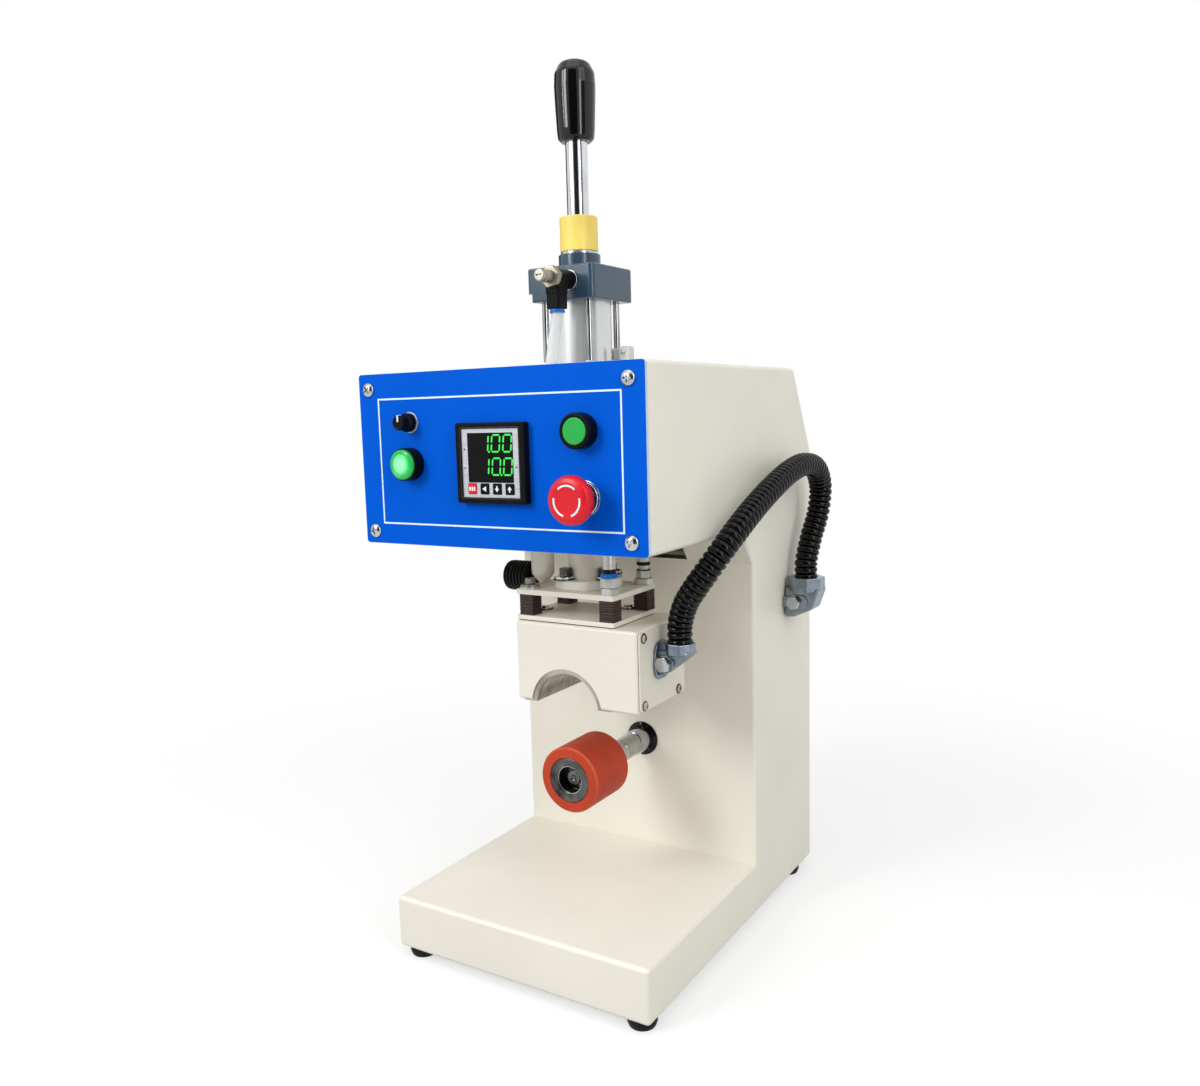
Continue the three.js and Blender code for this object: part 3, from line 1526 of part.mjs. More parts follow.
function clampElbow(elbow) {
  const { wall, reach, y, top, ring, bulge } = elbow;
  const ringFoot = top - ring * elbowRingHeightShare;
  const foot = top - ring * elbowBodyHeightShare;
  const middle = wall + elbowFlangeThickness / 2;
  const axisX = wall + reach;
  const outerX = axisX + ring / 2;
  const flangeZ = top - ring * elbowFlangeHeightShare / 2;
  const ringShape = new THREE.CylinderGeometry(ring / 2 / Math.cos(Math.PI / 8),
    ring / 2 / Math.cos(Math.PI / 8), top - ringFoot, 8);
  ringShape.rotateX(Math.PI / 2).rotateZ(Math.PI / 8).translate(axisX, y, (top + ringFoot) / 2);
  const wedge = slab([
    [middle, foot],
    [wall + reach * (elbowToeShare + bulge), foot + elbowEdge * 2],
    [axisX + ring * bulge, foot + ring * (elbowWaistShare - bulge)],
    [outerX - elbowEdge * 2, ringFoot - elbowEdge / 2],
    [outerX - elbowEdge * 2, ringFoot + elbowEdge * 2],
    [middle, ringFoot + elbowEdge * 2],
  ], elbowEdge, 'y', around(y, ring * elbowWidthShare / 2), elbowEdge * endBevelShare);
  const web = block([middle, axisX], around(y, ring / 4), [ringFoot, top - fit]);
  const flange = slab(
    rectangle(around(y, ring * elbowFlangeWidthShare / 2),
      around(flangeZ, ring * elbowFlangeHeightShare / 2)),
    ring * elbowCornerShare, 'x', [wall, wall + elbowFlangeThickness]);
  const [boltX, boltY, boltZ] = elbowBoltPlace(elbow);
  const bolt = hexBar(elbowBoltFlats, boltY - elbowBoltHead, boltY + elbowBoltHead, 'y',
    [boltX, 0, boltZ]);
  const socket = turn(rod(hoseRadius + fit, top - hoseSocket, top + overrun), 'z',
    [axisX, y, 0], roundSides);
  const drop = turn(rod(elbowPassageRadius, elbowPassageZ(elbow), top), 'z', [axisX, y, 0],
    smallSides);
  const across = turn(rod(elbowPassageRadius, wall - overrun, axisX), 'x',
    [0, y, elbowPassageZ(elbow)], smallSides);
  return cut(join(flange, wedge, web, ringShape, bolt), socket, drop, across);
}

function buildElbows() {
  add('head_elbow', clampElbow(headElbow), zincCasting());
  add('column_elbow', clampElbow(columnElbow), zincCasting());
}

function hosePath() {
  const end = (elbow, height) => new THREE.Vector3(elbow.wall + elbow.reach, elbow.y,
    elbow.top - hoseSocket + fit + height);
  const straight = 2 * hoseRadius;
  return new THREE.CatmullRomCurve3([
    end(headElbow, 0),
    end(headElbow, straight / 2),
    end(headElbow, straight),
    ...hosePoints.map((point) => new THREE.Vector3(...fromColumn(point))),
    end(columnElbow, straight),
    end(columnElbow, straight / 2),
    end(columnElbow, 0),
  ]);
}

// the hose as rings along its path: a crest and a valley for each rib outside, a plain bore inside
function ribbedHose(path) {
  const steps = hoseRibs * 2;
  const frames = path.computeFrenetFrames(steps, false);
  const places = path.getSpacedPoints(steps);
  const points = [];
  const ring = (step, radius) => {
    const first = points.length;
    for (let i = 0; i < hoseSides; i += 1) {
      const angle = 2 * Math.PI * i / hoseSides;
      const point = places[step].clone()
        .addScaledVector(frames.normals[step], radius * Math.cos(angle))
        .addScaledVector(frames.binormals[step], radius * Math.sin(angle));
      points.push(point);
    }
    return first;
  };
  const outer = [];
  const inner = [];
  for (let step = 0; step <= steps; step += 1) {
    outer.push(ring(step, step % 2 === 0 ? hoseValleyRadius : hoseRadius));
  }
  for (let step = 0; step < steps; step += 2 * hoseBoreEvery) {
    inner.push(ring(step, hoseBoreRadius));
  }
  inner.push(ring(steps, hoseBoreRadius));
  const loops = [...outer, ...inner.reverse(), outer[0]];
  const triangles = [];
  for (let k = 0; k + 1 < loops.length; k += 1) {
    for (let i = 0; i < hoseSides; i += 1) {
      const j = (i + 1) % hoseSides;
      const [a, b, c, d] = [loops[k] + i, loops[k] + j, loops[k + 1] + i, loops[k + 1] + j];
      triangles.push(a, b, d, a, d, c);
    }
  }
  const geometry = new THREE.BufferGeometry().setFromPoints(points);
  geometry.setIndex(triangles);
  console.log('least gap of the hose to itself, mm:', leastGap(places).toFixed(1));
  return geometry;
}

// the shortest way between two stretches of the hose that are not neighbours, skin to skin
function leastGap(places) {
  const spacing = places[0].distanceTo(places[1]);
  const apart = Math.ceil(4 * hoseRadius / spacing);
  let least = Infinity;
  places.forEach((place, i) => {
    for (let j = i + apart; j < places.length; j += 1) {
      least = Math.min(least, place.distanceTo(places[j]) - 2 * hoseRadius);
    }
  });
  return least;
}

// The roller

function buildRoller() {
  const place = [pressX, 0, rollerZ];
  const hubShoulder = rollerFront + hubRecess;
  const washerFront = hubShoulder - fit - endWasherThickness;
  add('roller_sleeve', turn([
    [hubRadius + slideFit, rollerFront],
    [rollerRadius - rollerBevel, rollerFront],
    [rollerRadius, rollerFront + rollerBevel],
    [rollerRadius, rollerBack - rollerBevel],
    [rollerRadius - rollerBevel, rollerBack],
    [hubRadius + slideFit, rollerBack],
    [hubRadius + slideFit, rollerFront],
  ], 'y', place, largeSides), siliconeRubber());
  add('roller_hub', turn([
    [hubBore, rollerFront],
    [hubRadius, rollerFront],
    [hubRadius, rollerBack],
    [journalRadius + fit, rollerBack],
    [journalRadius + fit, hubShoulder],
    [hubBore, hubShoulder],
    [hubBore, rollerFront],
  ], 'y', place, largeSides), darkSteel());
  const shoulder = rollerBack + rollerGap;
  const flangeFront = columnFront + sheet;
  add('roller_shaft', turn([
    [0, washerFront - shaftScrewHead],
    [shaftScrewRadius, washerFront - shaftScrewHead],
    [shaftScrewRadius, washerFront],
    [endWasherRadius, washerFront],
    [endWasherRadius, washerFront + endWasherThickness],
    [journalRadius, washerFront + endWasherThickness],
    [journalRadius, shoulder],
    [shaftRadius, shoulder],
    [shaftRadius, columnFront - shaftCollarLength],
    [shaftCollarRadius, columnFront - shaftCollarLength],
    [shaftCollarRadius, flangeFront],
    [shaftFlangeRadius, flangeFront],
    [shaftFlangeRadius, flangeFront + shaftFlangeThickness],
    [shaftCollarRadius, flangeFront + shaftFlangeThickness],
    [shaftCollarRadius, flangeFront + shaftFlangeThickness + shaftTail],
    [0, flangeFront + shaftFlangeThickness + shaftTail],
  ], 'y', place), brightSteel());
  add('shaft_seal', turn([
    [shaftCollarRadius + fit, columnFront - sealThickness],
    [sealRadius - sealBevel, columnFront - sealThickness],
    [sealRadius, columnFront - sealThickness + sealBevel],
    [sealRadius, columnFront],
    [shaftCollarRadius + fit, columnFront],
    [shaftCollarRadius + fit, columnFront - sealThickness],
  ], 'y', place), blackRubber());
}

// The regulator

function buildRegulator() {
  const [x, y] = [pressX - regulatorAcross, pressDepth - regulatorSetback];
  const foot = headFloorZ - regulatorLength;
  const round = foot + regulatorRadius;
  const bowl = [...Array(domeSteps).keys()].map((i) => {
    const angle = Math.PI / 2 * (1 - i / domeSteps);
    return [regulatorRadius * Math.cos(angle), round - regulatorRadius * Math.sin(angle)];
  });
  bowl[0][0] = 0;
  const knobZ = headFloorZ - regulatorKnobDrop;
  const knobRight = x - regulatorRadius - regulatorKnobGap;
  const shaftEnd = knobRight + regulatorKnobGap + regulatorShaftGrip;
  add('regulator_body', cut(turn([...bowl, [regulatorRadius, round], [regulatorRadius, headFloorZ],
    [0, headFloorZ]], 'z', [x, y, 0]),
  turn(rod(regulatorShaftRadius + fit, x - regulatorRadius - overrun, shaftEnd + fit), 'x',
    [0, y, knobZ], smallSides)), creamPaint());
  const ribs = [];
  const pitch = regulatorKnobLength / regulatorRibs;
  for (let i = 0; i < regulatorRibs; i += 1) {
    const start = knobRight - regulatorKnobLength + i * pitch;
    ribs.push([regulatorKnobRadius - regulatorRibDepth, start]);
    ribs.push([regulatorKnobRadius, start + pitch / 3]);
    ribs.push([regulatorKnobRadius, start + pitch * 2 / 3]);
  }
  add('regulator_knob', turn([
    [0, knobRight - regulatorKnobLength],
    ...ribs,
    [regulatorKnobRadius - regulatorRibDepth, knobRight],
    [regulatorShaftRadius, knobRight],
    [regulatorShaftRadius, shaftEnd],
    [0, shaftEnd],
  ], 'x', [0, y, knobZ]), blackPlastic());
}

// The whole machine

buildStand();
buildRearCover();
buildFeet();
buildPanel();
buildController();
buildDial();
buildButtons();
buildStopButton();
buildCylinder();
buildRod();
buildGrip();
buildAirTube(buildFlowValve());
buildSolenoid();
buildPortBlock();
buildPlates();
buildGuides();
buildHeatBlock();
buildHeadCover();
buildSideCover();
buildElbows();
add('conduit_hose', ribbedHose(hosePath()), blackRubber());
buildRoller();
buildRegulator();

// the origin is under the middle of the machine, on the surface that its feet stand on
const extent = new THREE.Box3().setFromObject(machine);
const middle = extent.getCenter(new THREE.Vector3());
machine.position.set(-middle.x, -middle.y, -extent.min.z);

export default machine;
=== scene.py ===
import math
import bpy
import bmesh
from mathutils import Matrix, Vector


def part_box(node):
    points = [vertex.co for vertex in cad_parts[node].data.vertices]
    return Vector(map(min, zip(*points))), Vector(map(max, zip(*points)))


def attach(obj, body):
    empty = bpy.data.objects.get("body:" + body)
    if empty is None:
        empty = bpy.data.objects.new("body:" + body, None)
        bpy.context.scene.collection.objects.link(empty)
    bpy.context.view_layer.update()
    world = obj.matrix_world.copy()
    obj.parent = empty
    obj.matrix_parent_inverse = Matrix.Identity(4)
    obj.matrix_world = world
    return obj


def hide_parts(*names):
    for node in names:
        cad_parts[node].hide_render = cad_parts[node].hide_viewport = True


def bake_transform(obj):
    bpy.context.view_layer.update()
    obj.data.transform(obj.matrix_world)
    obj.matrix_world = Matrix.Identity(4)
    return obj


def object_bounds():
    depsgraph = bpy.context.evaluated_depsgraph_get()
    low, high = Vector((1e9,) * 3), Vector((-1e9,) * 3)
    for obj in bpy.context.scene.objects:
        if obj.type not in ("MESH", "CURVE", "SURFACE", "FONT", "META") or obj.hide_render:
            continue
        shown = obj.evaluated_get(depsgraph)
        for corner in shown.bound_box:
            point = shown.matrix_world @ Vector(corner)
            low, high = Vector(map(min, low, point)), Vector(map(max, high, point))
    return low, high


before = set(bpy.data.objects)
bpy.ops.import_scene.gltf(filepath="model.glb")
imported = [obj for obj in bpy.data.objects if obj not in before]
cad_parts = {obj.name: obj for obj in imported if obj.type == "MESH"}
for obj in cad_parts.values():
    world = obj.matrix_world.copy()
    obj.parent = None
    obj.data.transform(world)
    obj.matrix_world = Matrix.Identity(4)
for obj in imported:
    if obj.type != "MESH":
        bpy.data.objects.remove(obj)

scene = bpy.context.scene
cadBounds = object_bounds()
mm = 0.001
baseLow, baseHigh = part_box("base_box")

# Every piece is built in the machine's own millimetres: x 0 at the right side, y 0 at the
# front of the base, z 0 under the base. toRow takes it to the frame's metres at the end.
toRow = Matrix.Translation((baseHigh.x, baseLow.y, baseLow.z)) @ Matrix.Scale(mm, 4)
up, toFront, toBack, toRight = (0, 0, 1), (0, -1, 0), (0, 1, 0), (1, 0, 0)


# Camera
camera = {"place": (381.997, -671.977, 498.363), "azimuth": 31.8122, "elevation": 7.2567, "roll": -1.5571,
          "lens": 30.534, "sensor": 36.0, "nearest": 0.01}


def addCamera():
    turn, tilt, roll = (math.radians(camera[k]) for k in ("azimuth", "elevation", "roll"))
    back = Vector((math.sin(turn) * math.cos(tilt), -math.cos(turn) * math.cos(tilt), math.sin(tilt)))
    side = (-back).cross(Vector(up)).normalized()
    above = side.cross(-back)
    across = math.cos(roll) * side + math.sin(roll) * above
    upright = math.cos(roll) * above - math.sin(roll) * side
    data = bpy.data.cameras.new("camera")
    data.sensor_fit = "HORIZONTAL"
    data.sensor_width = camera["sensor"]
    data.lens = camera["lens"]
    data.clip_start = camera["nearest"]
    eye = bpy.data.objects.new("camera", data)
    facing = Matrix((across, upright, back)).transposed().to_4x4()
    eye.matrix_world = Matrix.Translation(toRow @ Vector(camera["place"])) @ facing
    scene.collection.objects.link(eye)
    scene.camera = eye


addCamera()
print("camera placed")


# Finishes
noiseSpan = (0.3, 0.7)


def linear(colour):
    def one(value):
        value = value / 255
        return value / 12.92 if value <= 0.04045 else ((value + 0.055) / 1.055) ** 2.4
    return tuple(one(value) for value in colour) + (1.0,)


def node(material, kind, inputs=None, **settings):
    made = material.node_tree.nodes.new(kind)
    for key, value in settings.items():
        setattr(made, key, value)
    for key, value in (inputs or {}).items():
        if isinstance(value, bpy.types.NodeSocket):
            material.node_tree.links.new(value, made.inputs[key])
        else:
            made.inputs[key].default_value = value
    return made


def link(material, source, shader, socket):
    material.node_tree.links.new(source, shader.inputs[socket])


def newFinish(name, **sockets):
    material = bpy.data.materials.new(name)
    material.use_nodes = True
    shader = material.node_tree.nodes["Principled BSDF"]
    for key, value in sockets.items():
        shader.inputs[key.replace("_", " ")].default_value = value
    return material, shader


def objectPlace(material):
    return node(material, "ShaderNodeTexCoord").outputs["Object"]


def grain(material, scale, detail=3.0, stretch=(1, 1, 1), rough=0.5):
    spread = node(material, "ShaderNodeMapping", {"Vector": objectPlace(material), "Scale": stretch})
    return node(material, "ShaderNodeTexNoise", {
        "Vector": spread.outputs["Vector"], "Scale": scale, "Detail": detail,
        "Roughness": rough}).outputs["Fac"]


def shade(material, shader, fac, colours, stops=noiseSpan):
    ramp = node(material, "ShaderNodeValToRGB", {"Fac": fac})
    for i, (colour, stop) in enumerate(zip(colours, stops)):
        element = ramp.color_ramp.elements[i] if i < 2 else ramp.color_ramp.elements.new(stop)
        element.position = stop
        element.color = linear(colour)
    link(material, ramp.outputs["Color"], shader, "Base Color")
    return ramp


def glossMap(material, shader, fac, low, high):
    span = node(material, "ShaderNodeMapRange", {
        "Value": fac, "From Min": noiseSpan[0], "From Max": noiseSpan[1], "To Min": low, "To Max": high})
    link(material, span.outputs["Result"], shader, "Roughness")


def relief(material, shader, fac, strength, depth):
    bump = node(material, "ShaderNodeBump", {"Height": fac, "Strength": strength, "Distance": depth * mm})
    link(material, bump.outputs["Normal"], shader, "Normal")


def tinted(colour, share):
    return tuple(min(255, value * share) for value in colour)


# What the finishes of a family share; broad, fine and bumps are (scale, detail) of the noises
# under colour, gloss and relief. The rows below hold the family's fields in their order.
families = {
    "paint": {"fields": ("colour", "gloss", "strength", "shine"), "shares": (0.975, 1.01),
              "broad": (7, 4), "fine": (38, 5), "bumps": (520, 2), "depth": 0.3},
    "plastic": {"fields": ("colour", "gloss", "depth", "shine", "bumps"), "shares": (0.93, 1.04),
                "broad": (22, 5), "fine": (60, 5), "bumps": (300, 3), "strength": 0.25},
    "metal": {"fields": ("colours", "gloss", "depth", "stretch", "metal"), "stops": (0.32, 0.68),
              "broad": (34, 6), "rough": 0.6, "fine": (55, 5), "bumps": (180, 4), "strength": 0.3,
              "metal": 1.0},
}
plainSurface = {"metal": 0.0, "shine": 0.5, "stretch": (1, 1, 1), "stops": noiseSpan, "rough": 0.5}
surfaces = {
    "paint": {
        "creamPaint": ((238, 234, 221), (0.34, 0.44), 0.10, 0.40),
        # creamDarker: a slightly darker and rougher cream, used on the cover's side plate
        "creamDarker": ((229, 225, 211), (0.42, 0.54), 0.12, 0.35),
        "bluePaint": ((0, 91, 214), (0.40, 0.50), 0.05, 0.03),
        "blueEdge": ((196, 216, 238), (0.35, 0.45), 0.05, 0.30),
        "whitePrint": ((230, 248, 254), (0.45, 0.55), 0.03, 0.10),
        "slatePaint": ((54, 76, 96), (0.15, 0.24), 0.06, 0.5),
    },
    "plastic": {
        "blackGloss": ((10, 10, 12), (0.06, 0.11), 0.03, 0.42, (90, 3)),
        "blackPlastic": ((13, 13, 15), (0.30, 0.42), 0.12, 0.08, (900, 3)),
        "blackRubber": ((4, 4, 5), (0.06, 0.11), 0.03, 0.21),
        "blackGrip": ((14, 14, 15), (0.28, 0.40), 0.10, 0.14, (500, 3)),
        "footRubber": ((20, 20, 22), (0.50, 0.65), 0.20, 0.16, (600, 3)),
        "yellowPlastic": ((252, 222, 112), (0.32, 0.42), 0.08, 0.35),
        "redPlastic": ((222, 24, 40), (0.22, 0.32), 0.05, 0.30),
        "greenPlastic": ((36, 182, 78), (0.34, 0.44), 0.05, 0.25),
        "blueNylon": ((14, 116, 214), (0.30, 0.40), 0.05, 0.30),
        "screenGlass": ((7, 14, 10), (0.10, 0.16), 0.02, 0.02, (200, 3)),
        "siliconeRubber": ((184, 64, 38), (0.50, 0.62), 0.35, 0.22, (260, 3)),
        "siliconeEdge": ((198, 82, 54), (0.48, 0.58), 0.25, 0.25, (260, 3)),
    },
    "metal": {
        "chrome": (((198, 201, 205), (222, 224, 227)), (0.05, 0.10), 0.001, (3, 3, 1)),
        "brightSteel": (((160, 164, 168), (204, 207, 209)), (0.14, 0.26), 0.05),
        "brushedTube": (((206, 208, 210), (216, 218, 220)), (0.20, 0.25), 0.0005, (1.5, 1.5, 0.3), 0.55),
        "turnedSteel": (((160, 162, 165), (204, 206, 208)), (0.06, 0.13), 0.002, (1, 8, 1)),
        "rodChrome": (((150, 152, 155), (188, 190, 192)), (0.05, 0.10), 0.001, (3, 3, 1)),
        "darkSteel": (((50, 49, 48), (112, 110, 107)), (0.18, 0.34), 0.10, (2, 1, 2)),
        "mouldSteel": (((138, 133, 124), (196, 192, 184)), (0.26, 0.40), 0.08, (1, 5, 1)),
        "zincCasting": (((104, 116, 127), (152, 162, 171)), (0.22, 0.34), 0.30),
        "tanSteel": (((132, 126, 117), (186, 180, 170)), (0.24, 0.38), 0.10, (1, 1, 1), 0.8),
        "silverPlate": (((172, 176, 182), (200, 203, 208)), (0.34, 0.46), 0.03, (1, 1, 30), 0.5),
        "paleCasting": (((184, 184, 180), (216, 216, 211)), (0.32, 0.44), 0.25, (1, 1, 1), 0.6),
        "holeSteel": (((22, 21, 20), (52, 48, 44)), (0.30, 0.45), 0.05),
    },
}


def surface(name, family, row):
    shared = families[family]
    f = {**plainSurface, **shared, **dict(zip(shared["fields"], row))}
    material, shader = newFinish(name, Metallic=f["metal"], Specular_IOR_Level=f["shine"])
    colours = f.get("colours") or [tinted(f["colour"], share) for share in f["shares"]]
    shade(material, shader, grain(material, *f["broad"], f["stretch"], f["rough"]), colours, f["stops"])
    glossMap(material, shader, grain(material, *f["fine"], f["stretch"]), *f["gloss"])
    relief(material, shader, grain(material, *f["bumps"], f["stretch"]), f["strength"], f["depth"])
    return material


laminate = {"shine": 0.4, "colours": ((32, 21, 18), (66, 45, 39)), "stops": (0.2, 0.8), "grain": 300,
            "gloss": (0.5, 0.7), "strength": 0.4, "depth": 0.3,
            "layers": {"Scale": 130.0, "Distortion": 1.2, "Detail": 2.0, "Detail Scale": 4.0}}


def laminateFinish():
    f = laminate
    material, shader = newFinish("brownLaminate", Specular_IOR_Level=f["shine"])
    layers = node(material, "ShaderNodeTexWave", {"Vector": objectPlace(material), **f["layers"]},
                  wave_type="BANDS", bands_direction="Z").outputs["Fac"]
    shade(material, shader, layers, f["colours"], f["stops"])
    glossMap(material, shader, grain(material, f["grain"]), *f["gloss"])
    relief(material, shader, layers, f["strength"], f["depth"])
    return material


# Clear and lit pieces share a faint grain; scale and depth are those of each one's relief
faint = {"gloss": 60, "strength": 0.1}
clear = {"passing": 0.35, "bending": 1.3, "scale": 20, "stretch": (3, 3, 1), "depth": 0.002,
         "colours": ((228, 232, 234), (244, 246, 248)), "gloss": (0.12, 0.22)}
lit = {"broad": 30, "scale": 200, "depth": 0.05, "shares": (0.95, 1.03), "gloss": (0.25, 0.35)}
lens = {"glow": 0.42, "colours": ((138, 236, 172), (70, 214, 116), (10, 156, 62)),
        "stops": (0.28, 0.56, 0.70), "gloss": (0.16, 0.26), "reach": 14.5}


def faintGrain(material, shader, gloss, scale, depth):
    glossMap(material, shader, grain(material, faint["gloss"]), *gloss)
    relief(material, shader, grain(material, scale), faint["strength"], depth)
    return material


def clearFinish():
    material, shader = newFinish("clearTube", Transmission_Weight=clear["passing"], IOR=clear["bending"])
    shade(material, shader, grain(material, clear["scale"], stretch=clear["stretch"]), clear["colours"])
    return faintGrain(material, shader, clear["gloss"], clear["scale"], clear["depth"])


def litFinish(name, colour, glow, strength):
    material, shader = newFinish(name, Emission_Color=linear(glow), Emission_Strength=strength)
    shade(material, shader, grain(material, lit["broad"]), [tinted(colour, share) for share in lit["shares"]])
    return faintGrain(material, shader, lit["gloss"], lit["scale"], lit["depth"])


def lensFinish(centre):
    # bright mint in the middle of the lens, green towards its rim, as places on the lens itself
    material, shader = newFinish("lampLens", Emission_Strength=lens["glow"])
    apart = node(material, "ShaderNodeVectorMath", {0: objectPlace(material), 1: toRow @ Vector(centre)},
                 operation="DISTANCE")
    span = node(material, "ShaderNodeMapRange", {
        "Value": apart.outputs["Value"], "From Min": 0.0, "From Max": lens["reach"] * mm})
    ramp = shade(material, shader, span.outputs["Result"], lens["colours"], lens["stops"])
    link(material, ramp.outputs["Color"], shader, "Emission Color")
    return faintGrain(material, shader, lens["gloss"], lit["scale"], lit["depth"])


finishes = {name: surface(name, family, row)
            for family, rows in surfaces.items() for name, row in rows.items()}
finishes["brownLaminate"] = laminateFinish()
finishes["clearTube"] = clearFinish()
finishes["digitGreen"] = litFinish("digitGreen", (20, 120, 40), (50, 250, 84), 0.9)
# The key marks are print; their faint emission is a painted glow
finishes["keyMark"] = litFinish("keyMark", (226, 228, 230), (226, 228, 230), 0.15)
print("finishes made:", len(finishes))


# Shapes, all in millimetres until fitted() takes them to the frame
pole = 1e-6
wallShare = 0.49
flatWithin = math.radians(0.5)


def spot(axis, u, v, along):
    return Vector({"x": (along, u, v), "y": (u, along, v), "z": (u, v, along)}[axis])


def newShape(points, faces, finish):
    mesh = bpy.data.meshes.new("shape")
    mesh.from_pydata([tuple(p) for p in points], [], faces)
    build = bmesh.new()
    build.from_mesh(mesh)
    bmesh.ops.recalc_face_normals(build, faces=build.faces)
    build.to_mesh(mesh)
    build.free()
    mesh.materials.append(finishes[finish])
    shape = bpy.data.objects.new("shape", mesh)
    scene.collection.objects.link(shape)
    return shape


def filleted(points, closed=True, steps=5):
    # rounds each corner that carries a radius as its third number, limited by the walls beside it
    outline = []
    for i, point in enumerate(points):
        here = Vector(point[:2])
        radius = point[2] if len(point) > 2 else 0
        if radius <= 0 or (not closed and i in (0, len(points) - 1)):
            outline.append(here)
            continue
        before = Vector(points[i - 1][:2]) - here
        after = Vector(points[(i + 1) % len(points)][:2]) - here
        half = before.angle(after) / 2
        reach = min(radius / math.tan(half), before.length * wallShare, after.length * wallShare)
        inward, outward = before.normalized(), after.normalized()
        middle = here + (inward + outward).normalized() * (reach / math.cos(half))
        start, end = here + inward * reach - middle, here + outward * reach - middle
        sweep = math.atan2(start.x * end.y - start.y * end.x, start.dot(end))
        for k in range(steps + 1):
            c, s = math.cos(sweep * k / steps), math.sin(sweep * k / steps)
            outline.append(middle + Vector((start.x * c - start.y * s, start.x * s + start.y * c)))
    return outline


def turned(profile, place, axis, finish="creamPaint", sides=72, flutes=0, fluteDepth=0.0):
    # profile: (radius, place along the axis, corner radius); it runs from the axis back to the axis,
    # or closes on itself as a ring where both its ends are off the axis
    ringed = profile[0][0] > 0 and profile[-1][0] > 0
    rings = filleted(profile, ringed)
    points, faces, starts = [], [], []
    for radius, along in rings:
        starts.append(len(points))
        if radius < pole:
            points.append(spot(axis, 0, 0, along) + Vector(place))
            continue
        for i in range(sides):
            angle = 2 * math.pi * i / sides
            reach = radius - fluteDepth * (0.5 - 0.5 * math.cos(angle * flutes))
            points.append(spot(axis, reach * math.cos(angle), reach * math.sin(angle), along) + Vector(place))
    for a in range(len(rings) - 1 + ringed):
        b = (a + 1) % len(rings)
        poleA, poleB = rings[a][0] < pole, rings[b][0] < pole
        for i in range(0 if poleA and poleB else sides):
            j = (i + 1) % sides
            if poleA:
                faces.append((starts[a], starts[b] + i, starts[b] + j))
            elif poleB:
                faces.append((starts[a] + i, starts[b], starts[a] + j))
            else:
                faces.append((starts[a] + i, starts[b] + i, starts[b] + j, starts[a] + j))
    return newShape(points, faces, finish)


def turnedParts(rows, place, axis):
    # each row: finish, number of sides, profile
    return [turned(profile, place, axis, finish, sides) for finish, sides, profile in rows]


def pin(radius, ends, place, axis, sides=32, finish="creamPaint"):
    low, high = ends
    return turned([(0, low), (radius, low), (radius, high), (0, high)], place, axis, finish, sides)


def prism(outline, axis, ends, finish="creamPaint", rim=0.0, steps=3):
    # an outline drawn out along an axis, with its end edges rounded by rim
    flat = filleted(outline)
    count = len(flat)
    points = [spot(axis, p[0], p[1], end) for end in ends for p in flat]
    faces = [tuple(range(count)), tuple(range(2 * count - 1, count - 1, -1))]
    faces += [(i, (i + 1) % count, count + (i + 1) % count, count + i) for i in range(count)]
    shape = newShape(points, faces, finish)
    return rounded(shape, rim, steps) if rim else shape


def rectangle(us, vs, radius=0.0):
    return [(us[0], vs[0], radius), (us[1], vs[0], radius), (us[1], vs[1], radius), (us[0], vs[1], radius)]


def slab(us, vs, corner, axis, ends, finish="creamPaint", edge=0.0, steps=3):
    # a plate with its rectangle across the axis; one row of the settings holds all of it
    return prism(rectangle(us, vs, corner), axis, ends, finish, edge, steps)


def around(middle, half):
    return (middle - half, middle + half)


def oblong(middle, halves, radius=0.0):
    # the rectangle about a middle
    return rectangle(around(middle[0], halves[0]), around(middle[1], halves[1]), radius)


def shifted(outline, u, v):
    return [(p[0] + u, p[1] + v, *p[2:]) for p in outline]


def block(xs, ys, zs, finish="creamPaint", rim=0.0):
    return prism(rectangle(xs, ys), "z", zs, finish, rim)


def pairs(us, vs):
    return [(u, v) for u in us for v in vs]


def rounded(shape, width, steps=3, least=28, convexOnly=False):
    # every edge that bends by more than least degrees
    build = bmesh.new()
    build.from_mesh(shape.data)
    bmesh.ops.dissolve_limit(build, angle_limit=flatWithin, verts=build.verts, edges=build.edges)
    edges = []
    for edge in build.edges:
        if len(edge.link_faces) == 2:
            bend = math.degrees(edge.calc_face_angle_signed())
            if bend > least or (not convexOnly and abs(bend) > least):
                edges.append(edge)
    bmesh.ops.bevel(build, geom=edges, offset=width, offset_type="OFFSET", segments=steps,
                    profile=0.5, affect="EDGES", clamp_overlap=True)
    build.to_mesh(shape.data)
    build.free()
    return shape


def applied(shape):
    done = bpy.data.meshes.new_from_object(shape.evaluated_get(bpy.context.evaluated_depsgraph_get()))
    shape.modifiers.clear()
    shape.data = done
    return shape


def boolean(shape, others, operation="DIFFERENCE"):
    for other in others:
        change = shape.modifiers.new("change", "BOOLEAN")
        change.object, change.solver, change.operation = other, "EXACT", operation
    bpy.context.view_layer.update()
    applied(shape)
    for other in others:
        bpy.data.objects.remove(other)
    return shape


def cut(shape, *others):
    return boolean(shape, others)


def moved(shape, place, direction=up, spin=0.0):
    turn = Vector(direction).to_track_quat("Z", "Y").to_matrix().to_4x4()
    shape.data.transform(Matrix.Translation(place) @ turn @ Matrix.Rotation(math.radians(spin), 4, "Z"))
    return shape


def joined(name, parts):
    first = parts[0]
    if len(parts) > 1:
        with bpy.context.temp_override(active_object=first, object=first, selected_objects=list(parts),
                                       selected_editable_objects=list(parts)):
            bpy.ops.object.join()
    first.name = first.data.name = name
    return first


def smoothed(piece, least):
    piece.data.shade_smooth()
    piece.data.set_sharp_from_angle(angle=math.radians(least))
    weigh = piece.modifiers.new("weigh", "WEIGHTED_NORMAL")
    weigh.keep_sharp = True
    bpy.context.view_layer.update()
    return applied(piece)


